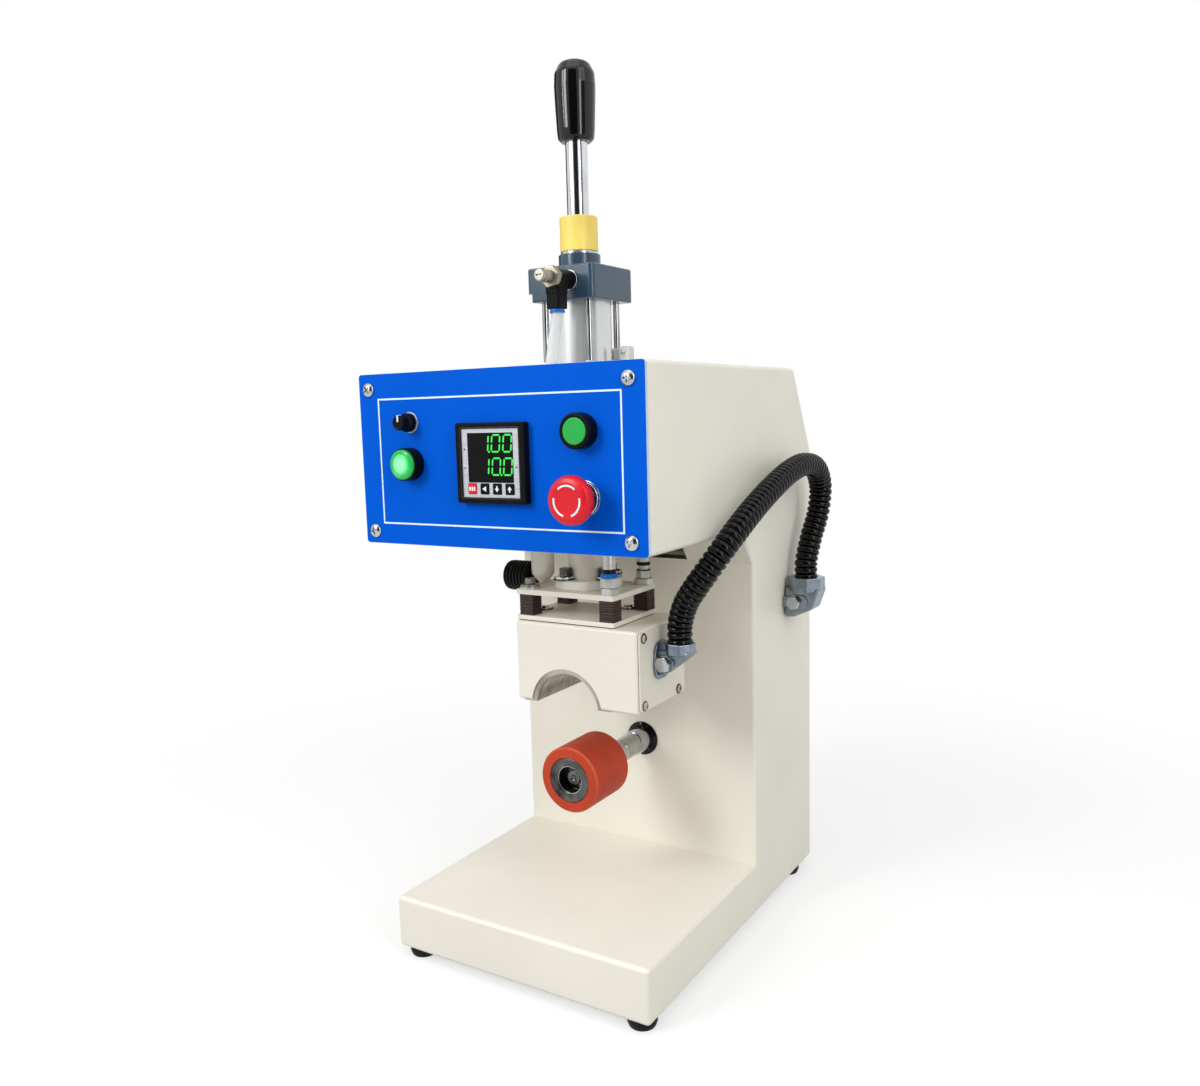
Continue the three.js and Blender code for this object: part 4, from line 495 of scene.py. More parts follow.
def fitted(name, body, slot, replaced, *parts, least=32):
    # one piece in the frame: its moving body, its material slot (not used) and the nodes that it replaces
    piece = joined(name, parts)
    piece.data.transform(toRow)
    smoothed(piece, least)
    if body:
        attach(piece, body)
    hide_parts(*replaced)
    return piece


def turnedPieces(rows, place, axis):
    # each row: name, body, slot, node, its turned parts
    for name, body, slot, replaced, parts in rows:
        fitted(name, body, slot, [replaced], *turnedParts(parts, place, axis))


# Screws, hexagons and washers; the form of a cross screw's head is in shares of its radius and height
crossHead = {"dome": ((0.5, 0.97, 1.0), (0.92, 0.5, 0.3)), "slot": (0.55, 0.11), "deep": 0.4}
screwRim, washerCorner = 0.25, 0.3


def crossScrew(place, direction, radius, height, finish="brightSteel", spin=20):
    dome = [(radius * wide, height * high, radius * corner) for wide, high, corner in crossHead["dome"]]
    profile = [(0, height), *dome, (radius, screwRim), (radius, 0), (0, 0)]
    head = turned(profile, (0, 0, 0), "z", finish, sides=48)
    long, thin = (around(0, radius * share) for share in crossHead["slot"])
    depth = (height * crossHead["deep"], height + 1)
    cut(head, block(long, thin, depth), block(thin, long, depth))
    return moved(head, place, direction, spin)


def hexHead(place, direction, flats, foot, top, finish="brightSteel", spin=0, chamfer=0.7):
    reach = flats / math.sqrt(3)
    angles = [math.radians(60 * k) for k in range(6)]
    corners = [(reach * math.cos(a), reach * math.sin(a)) for a in angles]
    shape = prism(corners, "z", (foot, top), finish, min(chamfer, (top - foot) / 3), steps=2)
    return moved(shape, place, direction, spin)


def washer(place, direction, radius, height, finish="brightSteel", bore=0.0):
    profile = [(bore, 0), (radius, 0, washerCorner), (radius, height, washerCorner), (bore, height)]
    return moved(turned(profile, (0, 0, 0), "z", finish, sides=48), place, direction)


def stacked(x, y, rows, spin=0):
    # standing hardware, each row: kind, finish, width, from and to, spin of a hexagon or bore of a washer
    parts = []
    for kind, finish, width, foot, top, extra in rows:
        if kind == "hex":
            parts.append(hexHead((x, y, 0), up, width, foot, top, finish, spin + extra))
        else:
            parts.append(washer((x, y, foot), up, width, top - foot, finish, extra))
    return parts


# Axes that several pieces share
press = {"x": -126.5, "y": 126.0, "rollerZ": 161.5, "spread": 23.3}
axis = (press["x"], press["y"], 0)
rollerAxis = (press["x"], 0, press["rollerZ"])
guides = {"front": (-83, 92, 0), "rear": (-83, 154, 0)}


def tieBar(a, b):
    return (axis[0] + a * press["spread"], axis[1] + b * press["spread"], 0)


# Stand. Holes: radius, from and to, place, axis, sides
stand = {
    "width": 272, "depth": 375.5, "base": 50, "columnFront": 222, "lean": 197, "shoulder": 352,
    "headWidth": 300, "headFront": 19, "headFoot": 385, "headTop": 539, "slopeTop": 328, "slopeFoot": 455,
    "sheet": 2.5, "edge": 4,
    "openings": (((-234, -38), (38, 337.5), (-1, 3.5)), ((-189, -71), (194, 227), (352.5, 384)),
                 ((-242, -30), (372, 377), (75, 415)), ((-280, -20), (18, 22.5), (405, 519))),
    "holes": [(27.8, (530, 545), axis, "z", 72), (10.3, (380, 390), axis, "z"),
              (8, (535, 545), (-124, 69, 0), "z"), (12.9, (220, 226), rollerAxis, "y", 48),
              *[(9, (380, 390), place, "z") for place in guides.values()],
              *[(3.3, (535, 545), tieBar(a, b), "z", 24) for a, b in pairs((-1, 1), (-1, 1))]],
    "bush": [(6.3, 381), (12, 381, 0.8), (12, 386.2), (9, 386.2), (9, 403), (6.3, 403)],
}


def standShapes(inset):
    s = stand
    foot, top = s["headFoot"] + inset, s["headTop"] - inset
    back, front, ground = s["depth"] - inset, s["columnFront"] + inset, s["base"] - inset
    lower = [(inset, inset), (back, inset), (back, foot), (s["lean"] + inset, foot),
             (front, s["shoulder"] + inset / 2), (front, ground), (inset, ground)]
    head = [(s["headFront"] + inset, foot), (back, foot), (back, s["slopeFoot"] - inset / 2),
            (s["slopeTop"] - inset / 2, top), (s["headFront"] + inset, top)]
    return [prism(outline, "x", (inset - s[width], -inset))
            for outline, width in ((lower, "width"), (head, "headWidth"))]


def makeStand():
    s = stand
    shell, head = standShapes(0)
    boolean(shell, [head], "UNION")
    rounded(shell, s["edge"], steps=4, least=20, convexOnly=True)
    cut(shell, *standShapes(s["sheet"]))
    cut(shell, *[block(*opening) for opening in s["openings"]], *[pin(*hole) for hole in s["holes"]])
    bushes = [turned(s["bush"], place, "z", sides=48) for place in guides.values()]
    fitted("stand_shell", "frame", "cream_paint", ["base_box", "column", "head_box"], shell, *bushes)


makeStand()
print("stand built")

# Rear cover with louvres and screws; hood and cheek stand off the face and off each slot's middle
rearCover = {
    "plate": ((-264, -8), (58, 447), 4, "y", (375.5, 377.5), "creamPaint", 0.5), "face": 377.5,
    "slots": 8, "top": 387, "pitch": 13, "middle": -136, "slot": (55, 2.5), "slotCorner": 2,
    "slotY": (374, 379), "thick": 0.5, "hoodEdge": 0.2,
    "hood": [(-0.4, 5.4), (1.2, 5.0), (3.2, 2.2, 1.4), (3.2, -3.6), (2.4, -3.6), (2.3, 1.6, 0.8), (0.6, 3.9),
             (-0.4, 4.2)],
    "cheek": [(-0.4, 5.4), (1.2, 5.0), (3.2, 2.2, 1.4), (3.2, -3.6), (-0.4, -3.6)],
    "screws": ((-253, -19), (66.5, 251, 435.8)), "screw": (6, 3.6), "turn": 31,
}
# Mains inlet in the rear cover
inlet = {
    "place": (-70, 110), "flange": ((-95, -45), (96, 124), 2, "y", (375.5, 381.5), "blackPlastic", 0.6),
    "body": ((-91, -49), (351.5, 375.4), (100, 120), "blackPlastic", 0.5),
    "socket": [(-13, -9, 1), (13, -9, 1), (13, 5), (9, 9), (-9, 9), (-13, 5)],
    "flangeHole": (366, 383), "bodyHole": (365.5, 383),
    "pins": ((-7, -2), (7, -2), (0, 4)), "pin": (1, 2.6), "pinRow": (0, "y", (364, 377), "brightSteel", 0.4),
}


def makeInlet():
    n = inlet
    x, z = n["place"]
    socket = shifted(n["socket"], x, z)
    flange = cut(slab(*n["flange"]), prism(socket, "y", n["flangeHole"]))
    body = cut(block(*n["body"]), prism([point[:2] for point in socket], "y", n["bodyHole"]))
    pins = [slab(around(x + a, n["pin"][0]), around(z + b, n["pin"][1]), *n["pinRow"]) for a, b in n["pins"]]
    return [flange, body, *pins]


def makeRearCover():
    r = rearCover
    slots, hoods = [], []
    for k in range(r["slots"]):
        z, half, thick = r["top"] - k * r["pitch"], r["slot"][0], r["thick"]
        slots.append(prism(oblong((r["middle"], z), r["slot"], r["slotCorner"]), "y", r["slotY"]))
        hood, cheek = shifted(r["hood"], r["face"], z), shifted(r["cheek"], r["face"], z)
        hoods.append(prism(hood, "x", around(r["middle"], half + 2 * thick), rim=r["hoodEdge"], steps=1))
        hoods += [prism(cheek, "x", around(x, thick)) for x in around(r["middle"], half + thick)]
    plate = cut(slab(*r["plate"]), *slots)
    screws = [crossScrew((x, r["face"], z), toBack, *r["screw"], spin=k * r["turn"])
              for k, (x, z) in enumerate(pairs(*r["screws"]))]
    fitted("rear_panel", "frame", "cream_paint", ["rear_cover"], plate, *hoods, *makeInlet(), *screws)


makeRearCover()

# Rubber feet
feet = {
    "places": {"front_left": (-253, 14, 0), "front_right": (-14.5, 14, 0), "rear_right": (-14.5, 339.5, 0),
               "rear_left": (-253, 339.5, 0)},
    "parts": [("footRubber", 56, [(0, 0), (13, 0), (13, -3.5, 1.2), (11.2, -8, 1.6), (3, -8, 0.5), (3, -6),
                                  (0, -6)]),
              ("brightSteel", 24, [(0, 9), (3, 9, 0.4), (3, 0), (0, 0)])],
}
for corner, place in feet["places"].items():
    fitted("rubber_foot_" + corner, "frame", "black_rubber", ["foot_" + corner],
           *turnedParts(feet["parts"], place, "z"))
print("rear cover and feet built")

# Control panel with its printed frame
panel = {"plate": ((-300, 0), (385, 539), 3, "y", (16, 19), "bluePaint", 0.35), "face": 16, "flat": 0.95,
         "line": ((-277.75, -21.25), (403.25, 516.75), 0.5, "y", (15.85, 16.2), "whitePrint"),
         "lineHole": ((-276.25, -22.75), (404.75, 515.25), 0, "y", (15, 17)),
         "screws": ((-288, -15), (396.5, 525)), "screw": (6.6, 3.6), "turns": (15, 25)}


def makePanel():
    p = panel
    plate = slab(*p["plate"])
    plate.data.materials.append(finishes["blueEdge"])
    for face in plate.data.polygons:
        face.material_index = 0 if abs(face.normal.y) > p["flat"] else 1
    line = cut(slab(*p["line"]), slab(*p["lineHole"]))
    first, step = p["turns"]
    screws = [crossScrew((x, p["face"], z), toFront, *p["screw"], spin=first + step * k)
              for k, (x, z) in enumerate(pairs(*p["screws"]))]
    fitted("panel_plate", "frame", "blue_paint", ["control_panel"], plate, line, *screws)


makePanel()

# Keys with plain arrow and bar marks: body and place along x of each
keys = {"z": 437.5, "half": (4.5, 4.5), "hole": (4.8, 4.8), "corner": 1, "cap": ("y", (8.5, 11.9)),
        "edge": 0.5, "print": ("y", (8.4, 8.8), "keyMark"),
        "caps": {"key_set": ("set_key", -166.8), "key_left": ("left_key", -153.6),
                 "key_down": ("down_key", -140.4), "key_up": ("up_key", -127.2)}}
keyMarks = {
    "key_set": [oblong((u, 0), (0.75, 1.7)) for u in (-2.4, 0, 2.4)],
    "key_left": [[(-2.3, 0), (1.7, -2.4), (1.7, 2.4)]],
    "key_down": [[(-2.2, 0.4), (2.2, 0.4), (0, -2.6)], oblong((0, 1.5), (0.7, 1.1))],
    "key_up": [[(-2.2, -0.4), (2.2, -0.4), (0, 2.6)], oblong((0, -1.5), (0.7, 1.1))],
}

# Controller: bezel, lip, silver face, screen with two rows of digits. Layers: middle along z,
# half width and height, corner, axis, from and to, finish, edge
controller = {
    "x": -146.8,
    "bezel": (459.2, (36.2, 34.2), 2, "y", (8, 16), "blackPlastic", 1.1),
    "well": (459.2, (30.4, 29.25), 1, "y", (6, 9.6)),
    "lip": (459.2, (31.6, 30.45), 1.4, "y", (7.85, 8.6), "blackGloss", 0.25),
    "lipHole": (459.2, (30.4, 29.25), 1, "y", (5, 12)),
    "face": (459.2, (30.3, 29.15), 1, "y", (9.2, 11.2), "silverPlate", 0.2),
    "screenHole": (463.8, (24, 21), 0.8, "y", (8, 10)),
    "screen": (463.8, (24, 21), 0.8, "y", (9.7, 11), "screenGlass"),
    "keyHole": (1.1, "y", (8, 11)), "back": ((-180.3, -113.3), (19.5, 74), (426.2, 492.2), "blackPlastic", 1),
    "text": "100", "digit": (8.3, 14.0), "digitY": (9.5, 9.75), "stroke": 1.38, "gap": 0.55, "slant": 0.09,
    "pitch": 12.1, "rowTops": (482.8, 463.4), "right": -124.7, "dot": 0.9, "dotShift": 1.6,
    "marks": ((-174.2, 471), (-174.2, 455), (-119.6, 456)), "mark": (0.7, (9.05, 9.3)),
}
segments = {"0": "abcdef", "1": "bc"}


def digitOutlines(sign, left, top):
    c = controller
    right, middle, foot = left + c["digit"][0], top - c["digit"][1] / 2, top - c["digit"][1]
    bars = {"a": (left, top, right, top), "b": (right, top, right, middle), "c": (right, middle, right, foot),
            "d": (left, foot, right, foot), "e": (left, middle, left, foot), "f": (left, top, left, middle)}
    outlines = []
    for key in segments[sign]:
        start, end = Vector(bars[key][:2]), Vector(bars[key][2:])
        along = (end - start).normalized()
        side = Vector((-along.y, along.x)) * c["stroke"] / 2
        start, end, tip = start + along * c["gap"], end - along * c["gap"], along * c["stroke"] / 2
        bar = [start, start + tip + side, end - tip + side, end, end - tip - side, start + tip - side]
        outlines.append([(p.x + (p.y - middle) * c["slant"], p.y) for p in bar])
    return outlines


def makeDigits():
    c = controller
    digits = []
    for row, top in enumerate(c["rowTops"]):
        for place, sign in enumerate(c["text"]):
            left = c["right"] - c["digit"][0] - (2 - place) * c["pitch"]
            digits += [prism(bar, "y", c["digitY"], "digitGreen") for bar in digitOutlines(sign, left, top)]
        dotX = c["right"] - (2 - row) * c["pitch"] + c["dotShift"] - c["digit"][1] / 2 * c["slant"]
        digits.append(pin(c["dot"], c["digitY"], (dotX, 0, top - c["digit"][1]), "y", sides=20,
                          finish="digitGreen"))
    return digits


def layer(name):
    z, halves, corner, *rest = controller[name]
    return prism(oblong((controller["x"], z), halves, corner), *rest)


def makeController():
    c = controller
    corner, *depth = c["keyHole"]
    keyHoles = [prism(oblong((cap[1], keys["z"]), keys["hole"], corner), *depth)
                for cap in keys["caps"].values()]
    bezel = cut(layer("bezel"), layer("well"))
    lip = cut(layer("lip"), layer("lipHole"))
    face = cut(layer("face"), layer("screenHole"), *keyHoles)
    marks = [pin(*c["mark"], (markX, 0, markZ), "y", sides=16, finish="holeSteel")
             for markX, markZ in c["marks"]]
    fitted("controller_front", "frame", "black_plastic", ["controller_case"], bezel, lip, face,
           layer("screen"), block(*c["back"]), *makeDigits(), *marks)


makeController()
for name, (body, keyX) in keys["caps"].items():
    slot, finish = ("red_plastic", "redPlastic") if name == "key_set" else ("black_plastic", "blackPlastic")
    fitted(name + "_cap", body, slot, [name],
           prism(oblong((keyX, keys["z"]), keys["half"], keys["corner"]), *keys["cap"], finish, keys["edge"]),
           *[prism(shifted(mark, keyX, keys["z"]), *keys["print"]) for mark in keyMarks[name]])
print("panel and controller built")

# Dial
dial = {
    "place": (-240, 0, 494.8), "stem": (3, (14, 23.8)), "sides": 120, "flutes": (20, 0.22),
    "mount": [(0, 14.8), (9.3, 14.8, 0.4), (9.3, 16), (4.6, 16), (4.6, 19), (8, 19), (8, 33, 1), (0, 33)],
    "grip": [(0, 0.1), (4.6, 0.1, 0.3), (6.6, -0.5, 0.9), (6.9, 7.2, 0.4), (8.3, 9.4, 0.8), (8.5, 14.5, 0.4),
             (0, 14.5)],
    "topMark": (oblong((-240, 498.3), (0.75, 2.7), 0.5), "y", (-0.6, 0.4), "whitePrint"),
    "sideMark": ([(-0.55, 500.4), (4.2, 500.8), (4.2, 501.75), (-0.55, 501.55)], "x", (-240.7, -239.3),
                 "whitePrint"),
}


def makeDial():
    d = dial
    place = d["place"]
    fitted("dial_plate", "frame", "silver", ["dial_mount"], turned(d["mount"], place, "y", "silverPlate"))
    fitted("dial_grip", "dial", "black_plastic", ["dial_knob"],
           turned(d["grip"], place, "y", "blackPlastic", d["sides"], *d["flutes"]),
           prism(*d["topMark"]), prism(*d["sideMark"]), pin(*d["stem"], place, "y", finish="brightSteel"))


makeDial()

# Round panel buttons: a collar with a ribbed nut behind the panel, and the moving cap
buttons = {
    "lamp": {"place": (-240.5, 0, 458), "front": 4.0, "inner": 13.4, "node": "lamp_switch",
             "cap": [(0, 0.0), (7.8, 0.35, 3), (9.6, 1.6, 0.6), (11.2, 1.2, 0.8), (13.2, 2.2, 1.2),
                     (13.2, 8.8), (6, 8.8), (6, 35), (0, 35)]},
    "start": {"place": (-58.5, 0, 485), "front": 3.5, "inner": 11.1, "node": "start_switch",
              "cap": [(0, 3.25), (10.0, 3.1, 2), (10.8, 3.4, 0.4), (10.8, 8.2), (6, 8.2), (6, 35), (0, 35)]},
}
switch = {"rim": 14.5, "panel": 16, "neck": 10.8, "end": 40, "wall": 5, "deep": 9,
          "corners": (0.5, 1.4), "nut": [(10.9, 19), (14, 19, 0.5), (14, 24, 0.5), (10.9, 24)],
          "nutTurns": (96, 24, 0.6), "body": (13, 15), "bodyRow": (0, "y", (40, 62), "blackPlastic", 1)}


def switchBody(place):
    halfX, halfZ = switch["body"]
    return slab(around(place[0], halfX), around(place[2], halfZ), *switch["bodyRow"])


def collar(inner, front):
    s = switch
    wall, back = inner - s["wall"], front + s["deep"]
    lipCorner, rimCorner = s["corners"]
    return [(inner, back), (inner, front, lipCorner), (s["rim"], front, rimCorner), (s["rim"], s["panel"]),
            (s["neck"], s["panel"]), (s["neck"], s["end"]), (wall, s["end"]), (wall, back)]


for name, b in buttons.items():
    fitted(name + "_collar", "frame", "black_plastic", [b["node"]],
           turned(collar(b["inner"], b["front"]), b["place"], "y", "blackPlastic"),
           turned(switch["nut"], b["place"], "y", "blackPlastic", *switch["nutTurns"]),
           switchBody(b["place"]))
lamp, start = buttons["lamp"], buttons["start"]
finishes["lampLens"] = lensFinish(lamp["place"])
fitted("lamp_lens", "lamp", "lit_green", ["lamp_button"],
       turned(lamp["cap"], lamp["place"], "y", "lampLens", sides=96))
fitted("start_cap", "start", "green_plastic", ["start_button"],
       turned(start["cap"], start["place"], "y", "greenPlastic", sides=96))

# Stop button with its three white arcs, as angles
stop = {
    "place": (-57, 0, 431), "arc": (12.95, 11.45), "arcs": ((50, 130), (169, 253), (289, 372)), "steps": 14,
    "arcY": (-12.55, -11.5),
    "head": [(0, -11.9), (9, -12.0, 6), (14.5, -12.5, 3), (18.4, -11.2, 2.4), (20, -7.5, 3), (20, -3.6, 1.6),
             (17.5, 0.1, 1.2), (11, 0.5), (0, 0.5)],
    "stem": [(0, 0.8), (11, 0.8), (11, 5.6, 1), (8, 6.3), (8, 34.7), (0, 34.7)],
    "collar": [("brightSteel", 72, [(11.4, 16), (11.4, 10.9), (12.2, 10.5, 0.4), (14.5, 10.5, 1.2),
                                    (14.5, 13.2, 0.3), (13.9, 13.4), (13.9, 14.2), (14.5, 14.4, 0.3),
                                    (14.5, 16)]),
               ("blackPlastic", 72, [(8.4, 16), (10.8, 16), (10.8, 40), (8.4, 40)])],
}


def arc(low, high):
    x, z = stop["place"][::2]
    angles = [math.radians(low + (high - low) * k / stop["steps"]) for k in range(stop["steps"] + 1)]
    outer, inner = ([(x + reach * math.cos(a), z + reach * math.sin(a)) for a in angles]
                    for reach in stop["arc"])
    return prism(outer + inner[::-1], "y", stop["arcY"], "whitePrint")


def makeStop():
    place = stop["place"]
    fitted("stop_mushroom", "stop_head", "red_plastic", ["stop_button"],
           turned(stop["head"], place, "y", "redPlastic", sides=120),
           *[arc(*angles) for angles in stop["arcs"]])
    fitted("stop_neck", "stop_stem_slide", "dark_steel", ["stop_stem"],
           turned(stop["stem"], place, "y", "darkSteel"))
    fitted("stop_collar", "frame", "zinc", ["stop_switch"], *turnedParts(stop["collar"], place, "y"),
           switchBody(place))


makeStop()
print("buttons built")

# Air cylinder
cylinder = {
    "cap": ((-161.5, -91.5), (91, 161), 5, "z", (598, 628), "slatePaint", 1.6, 4),
    "barrel": [(25, 417.5), (27.5, 417.5), (27.5, 598), (25, 598)],
    "neck": [("slatePaint", 96, [(10.3, 627.5), (19, 627.5), (19, 640.5, 1.4), (17.4, 640.5), (17.4, 639.9),
                                 (10.3, 639.9)]),
             ("brightSteel", 96, [(10.3, 639.9), (17, 639.9), (17, 643, 0.7), (10.3, 643)]),
             ("chrome", 96, [(10.3, 640.9), (17.3, 640.9), (17.3, 641.6, 0.3), (10.3, 641.6)])],
    "notch": ((-162.5, -155.5), (88, 164), (597, 606)),
    "holes": [(10.3, (597, 629), axis, "z", 48), (5, (90, 108), (-115, 0, 614.5), "y"),
              *[(3.3, (597, 613.3), tieBar(a, b), "z", 24) for a, b in pairs((-1, 1), (-1, 1))]],
    "bars": {"front_left": (-1, -1), "front_right": (1, -1), "rear_right": (1, 1), "rear_left": (-1, 1)},
    "bar": [(0, 402.5), (3, 402.5, 0.4), (3, 613, 0.4), (0, 613)],
    "nut": [("hex", "brightSteel", 10, 539, 545, 10), ("washer", "brightSteel", 5.6, 538.9, 539.4, 0)],
    "upperNut": [("hex", "paleCasting", 10, 547, 557, 24)],
}
onAxis = [
    ("sleeve", "frame", "yellow_plastic", "stop_sleeve",
     [("yellowPlastic", 96, [(10.3, 643), (17.2, 643, 0.9), (17.2, 673.5, 1.0), (10.3, 673.5, 0.6)])]),
    ("rod", "press_head", "bright_steel", "piston_rod",
     [("chrome", 96, [(0, 342.5), (10, 342.5), (10, 547.5), (24.7, 547.5, 1), (24.7, 567.5, 1), (10, 567.5),
                      (10, 783.4), (0, 783.4)])]),
    ("grip", "press_head", "black_plastic", "hand_grip",
     [("blackGloss", 120, [(10.1, 783.7), (10.1, 738.4), (13.2, 738.4, 0.8), (16.2, 741.2, 2.4),
                           (17.0, 748, 6), (17.9, 768, 20), (18.5, 786, 16), (17.9, 797, 9),
                           (13.6, 805.2, 7), (6, 808.3, 6), (0, 808.4), (0, 783.7)])]),
]


def makeCylinder():
    c = cylinder
    fitted("cylinder_barrel", "frame", "tube_aluminium", ["cylinder_tube"],
           turned(c["barrel"], axis, "z", "brushedTube", sides=120))
    cap = cut(slab(*c["cap"]), block(*c["notch"]), *[pin(*hole) for hole in c["holes"]])
    fitted("cylinder_head", "frame", "slate_paint", ["cylinder_top_cap"], cap,
           *turnedParts(c["neck"], axis, "z"))
    for corner, sides in c["bars"].items():
        place = tieBar(*sides)
        nuts = c["nut"] + (c["upperNut"] if corner == "rear_right" else [])
        fitted("tie_bar_" + corner, "frame", "bright_steel", ["tie_rod_" + corner],
               turned(c["bar"], place, "z", "rodChrome", sides=40), *stacked(place[0], place[1], nuts))
    turnedPieces(onAxis, axis, "z")


makeCylinder()

# Speed control fitting with its screw, a tee along y with a leg for the air tube
flow = {
    "place": (-115, 0, 614.5), "legPlace": (-115, 70, 0),
    "tee": [("blackPlastic", 72, [(0, 66), (8, 66, 0.5), (8, 71), (7.6, 72), (8, 76), (8, 88.6, 0.4),
                                  (4.7, 88.8), (4.7, 105), (0, 105)]),
            ("brightSteel", 72, [(5, 88.7), (8.6, 88.7, 0.5), (8.6, 91), (5, 91)])],
    "nut": ((-115, 66, 614.5), toFront, 17, 0, 7, "tanSteel", 12, 1.1),
    "collar": [(3.3, 58.6), (6.8, 58.6, 0.5), (7.0, 60), (3.3, 60)],
    "leg": ((-121.9, -108.1), (63.1, 76.9), 2.2, "z", (588, 616.5), "blackPlastic", 0.9),
    "legHole": (5.5, (570, 596)),
    "shoulder": ((-122.5, -107.5), (62.5, 77.5), 2.6, "z", (600, 615.5), "blackPlastic", 1.2),
    "release": [(5.5, 588.3), (6.0, 588.3), (6.2, 586.6, 0.6), (6.9, 585.9, 0.4), (6.9, 585, 0.4),
                (5.5, 585)],
    "knob": [(0, 43.7), (5.0, 43.7, 0.9), (5.5, 46, 0.3), (5.5, 48.6, 0.3), (4.9, 49.2), (4.9, 50),
             (5.6, 50.6, 0.3), (5.6, 58.3, 0.5), (3, 58.3), (3, 73), (0, 73)],
    "flutes": (36, 0.12), "slot": ((-118.2, -111.8), (43, 45.3), (613.75, 615.25)),
}


def makeFlowValve():
    f = flow
    place, legPlace = f["place"], f["legPlace"]
    nut = hexHead(*f["nut"])
    ring = turned(f["collar"], place, "y", "tanSteel")
    leg = cut(slab(*f["leg"]), pin(*f["legHole"], legPlace, "z"))
    release = turned(f["release"], legPlace, "z", "blueNylon", sides=56)
    fitted("flow_control", "frame", "black_plastic", ["flow_valve"], *turnedParts(f["tee"], place, "y"), nut,
           ring, leg, slab(*f["shoulder"]), release)
    knob = turned(f["knob"], place, "y", "tanSteel", 72, *f["flutes"])
    fitted("flow_adjuster", "speed_screw", "bright_steel", ["flow_screw"], cut(knob, block(*f["slot"])))


makeFlowValve()

# Port block on the head box
portBlock = {"block": ((-88, -78), (539, 557.5), 2.4, "y", (128, 137), "paleCasting", 0.9),
             "plug": [(0, 127.2), (1.9, 127.2, 0.4), (1.9, 128.4), (0, 128.4)], "place": (-84.5, 0, 552)}
fitted("port_fitting", "frame", "zinc", ["port_block"], slab(*portBlock["block"]),
       turned(portBlock["plug"], portBlock["place"], "y", "brightSteel", sides=32))


def curvePoints(path, count, fineSteps=24):
    # the centripetal curve through the path's points, as evenly spaced places along it
    def between(p0, p1, p2, p3, t):
        d0, d1, d2 = ((b - a).length ** 0.5 or 1 for a, b in ((p0, p1), (p1, p2), (p2, p3)))
        start = ((p1 - p0) / d0 - (p2 - p0) / (d0 + d1) + (p2 - p1) / d1) * d1
        end = ((p2 - p1) / d1 - (p3 - p1) / (d1 + d2) + (p3 - p2) / d2) * d1
        square, cube = 3 * (p2 - p1) - 2 * start - end, 2 * (p1 - p2) + start + end
        return p1 + start * t + square * t ** 2 + cube * t ** 3
    points = [Vector(p) for p in path]
    points = [2 * points[0] - points[1]] + points + [2 * points[-1] - points[-2]]
    fine = [between(*points[k:k + 4], step / fineSteps)
            for k in range(len(points) - 3) for step in range(fineSteps)] + [points[-2]]
    reach = [0.0]
    for a, b in zip(fine, fine[1:]):
        reach.append(reach[-1] + (b - a).length)
    places, k = [], 0
    for step in range(count + 1):
        goal = reach[-1] * step / count
        while k < len(fine) - 2 and reach[k + 1] < goal:
            k += 1
        share = (goal - reach[k]) / max(1e-9, reach[k + 1] - reach[k])
        places.append(fine[k].lerp(fine[k + 1], min(1.0, share)))
    return places, reach[-1]


def swept(places, radii, finish, sides=24):
    # a closed tube along the places, with one radius for each; the ends are closed discs
    points, faces = [], []
    side = None
    for k, place in enumerate(places):
        ahead = (places[min(k + 1, len(places) - 1)] - places[max(k - 1, 0)]).normalized()
        if side is None:
            side = ahead.orthogonal().normalized()
        side = (side - ahead * side.dot(ahead)).normalized()
        other = ahead.cross(side)
        for i in range(sides):
            angle = 2 * math.pi * i / sides
            points.append(place + (side * math.cos(angle) + other * math.sin(angle)) * radii[k])
    for k in range(len(places) - 1):
        for i in range(sides):
            j = (i + 1) % sides
            faces.append((k * sides + i, k * sides + j, (k + 1) * sides + j, (k + 1) * sides + i))
    faces.append(tuple(range(sides)))
    faces.append(tuple(range(len(points) - 1, len(points) - 1 - sides, -1)))
    return newShape(points, faces, finish)


# Clear air tube from the speed control into the head box
airTube = {"radius": 5, "steps": 90, "path": [
    (-115, 70, 595.7), (-115, 70, 585), (-119, 69, 563), (-124, 69, 537), (-134, 70, 522), (-160, 78, 514),
    (-182, 96, 506), (-192, 130, 494), (-196, 175, 474), (-200, 225, 448), (-206, 268, 428),
    (-207, 323, 428.5), (-207, 334.7, 428.5)]}
tubePlaces, tubeLength = curvePoints(airTube["path"], airTube["steps"])
fitted("air_line", "frame", "clear_tube", ["air_tube"],
       swept(tubePlaces, [airTube["radius"]] * len(tubePlaces), "clearTube"))
print("cylinder built, air line", round(tubeLength), "mm")

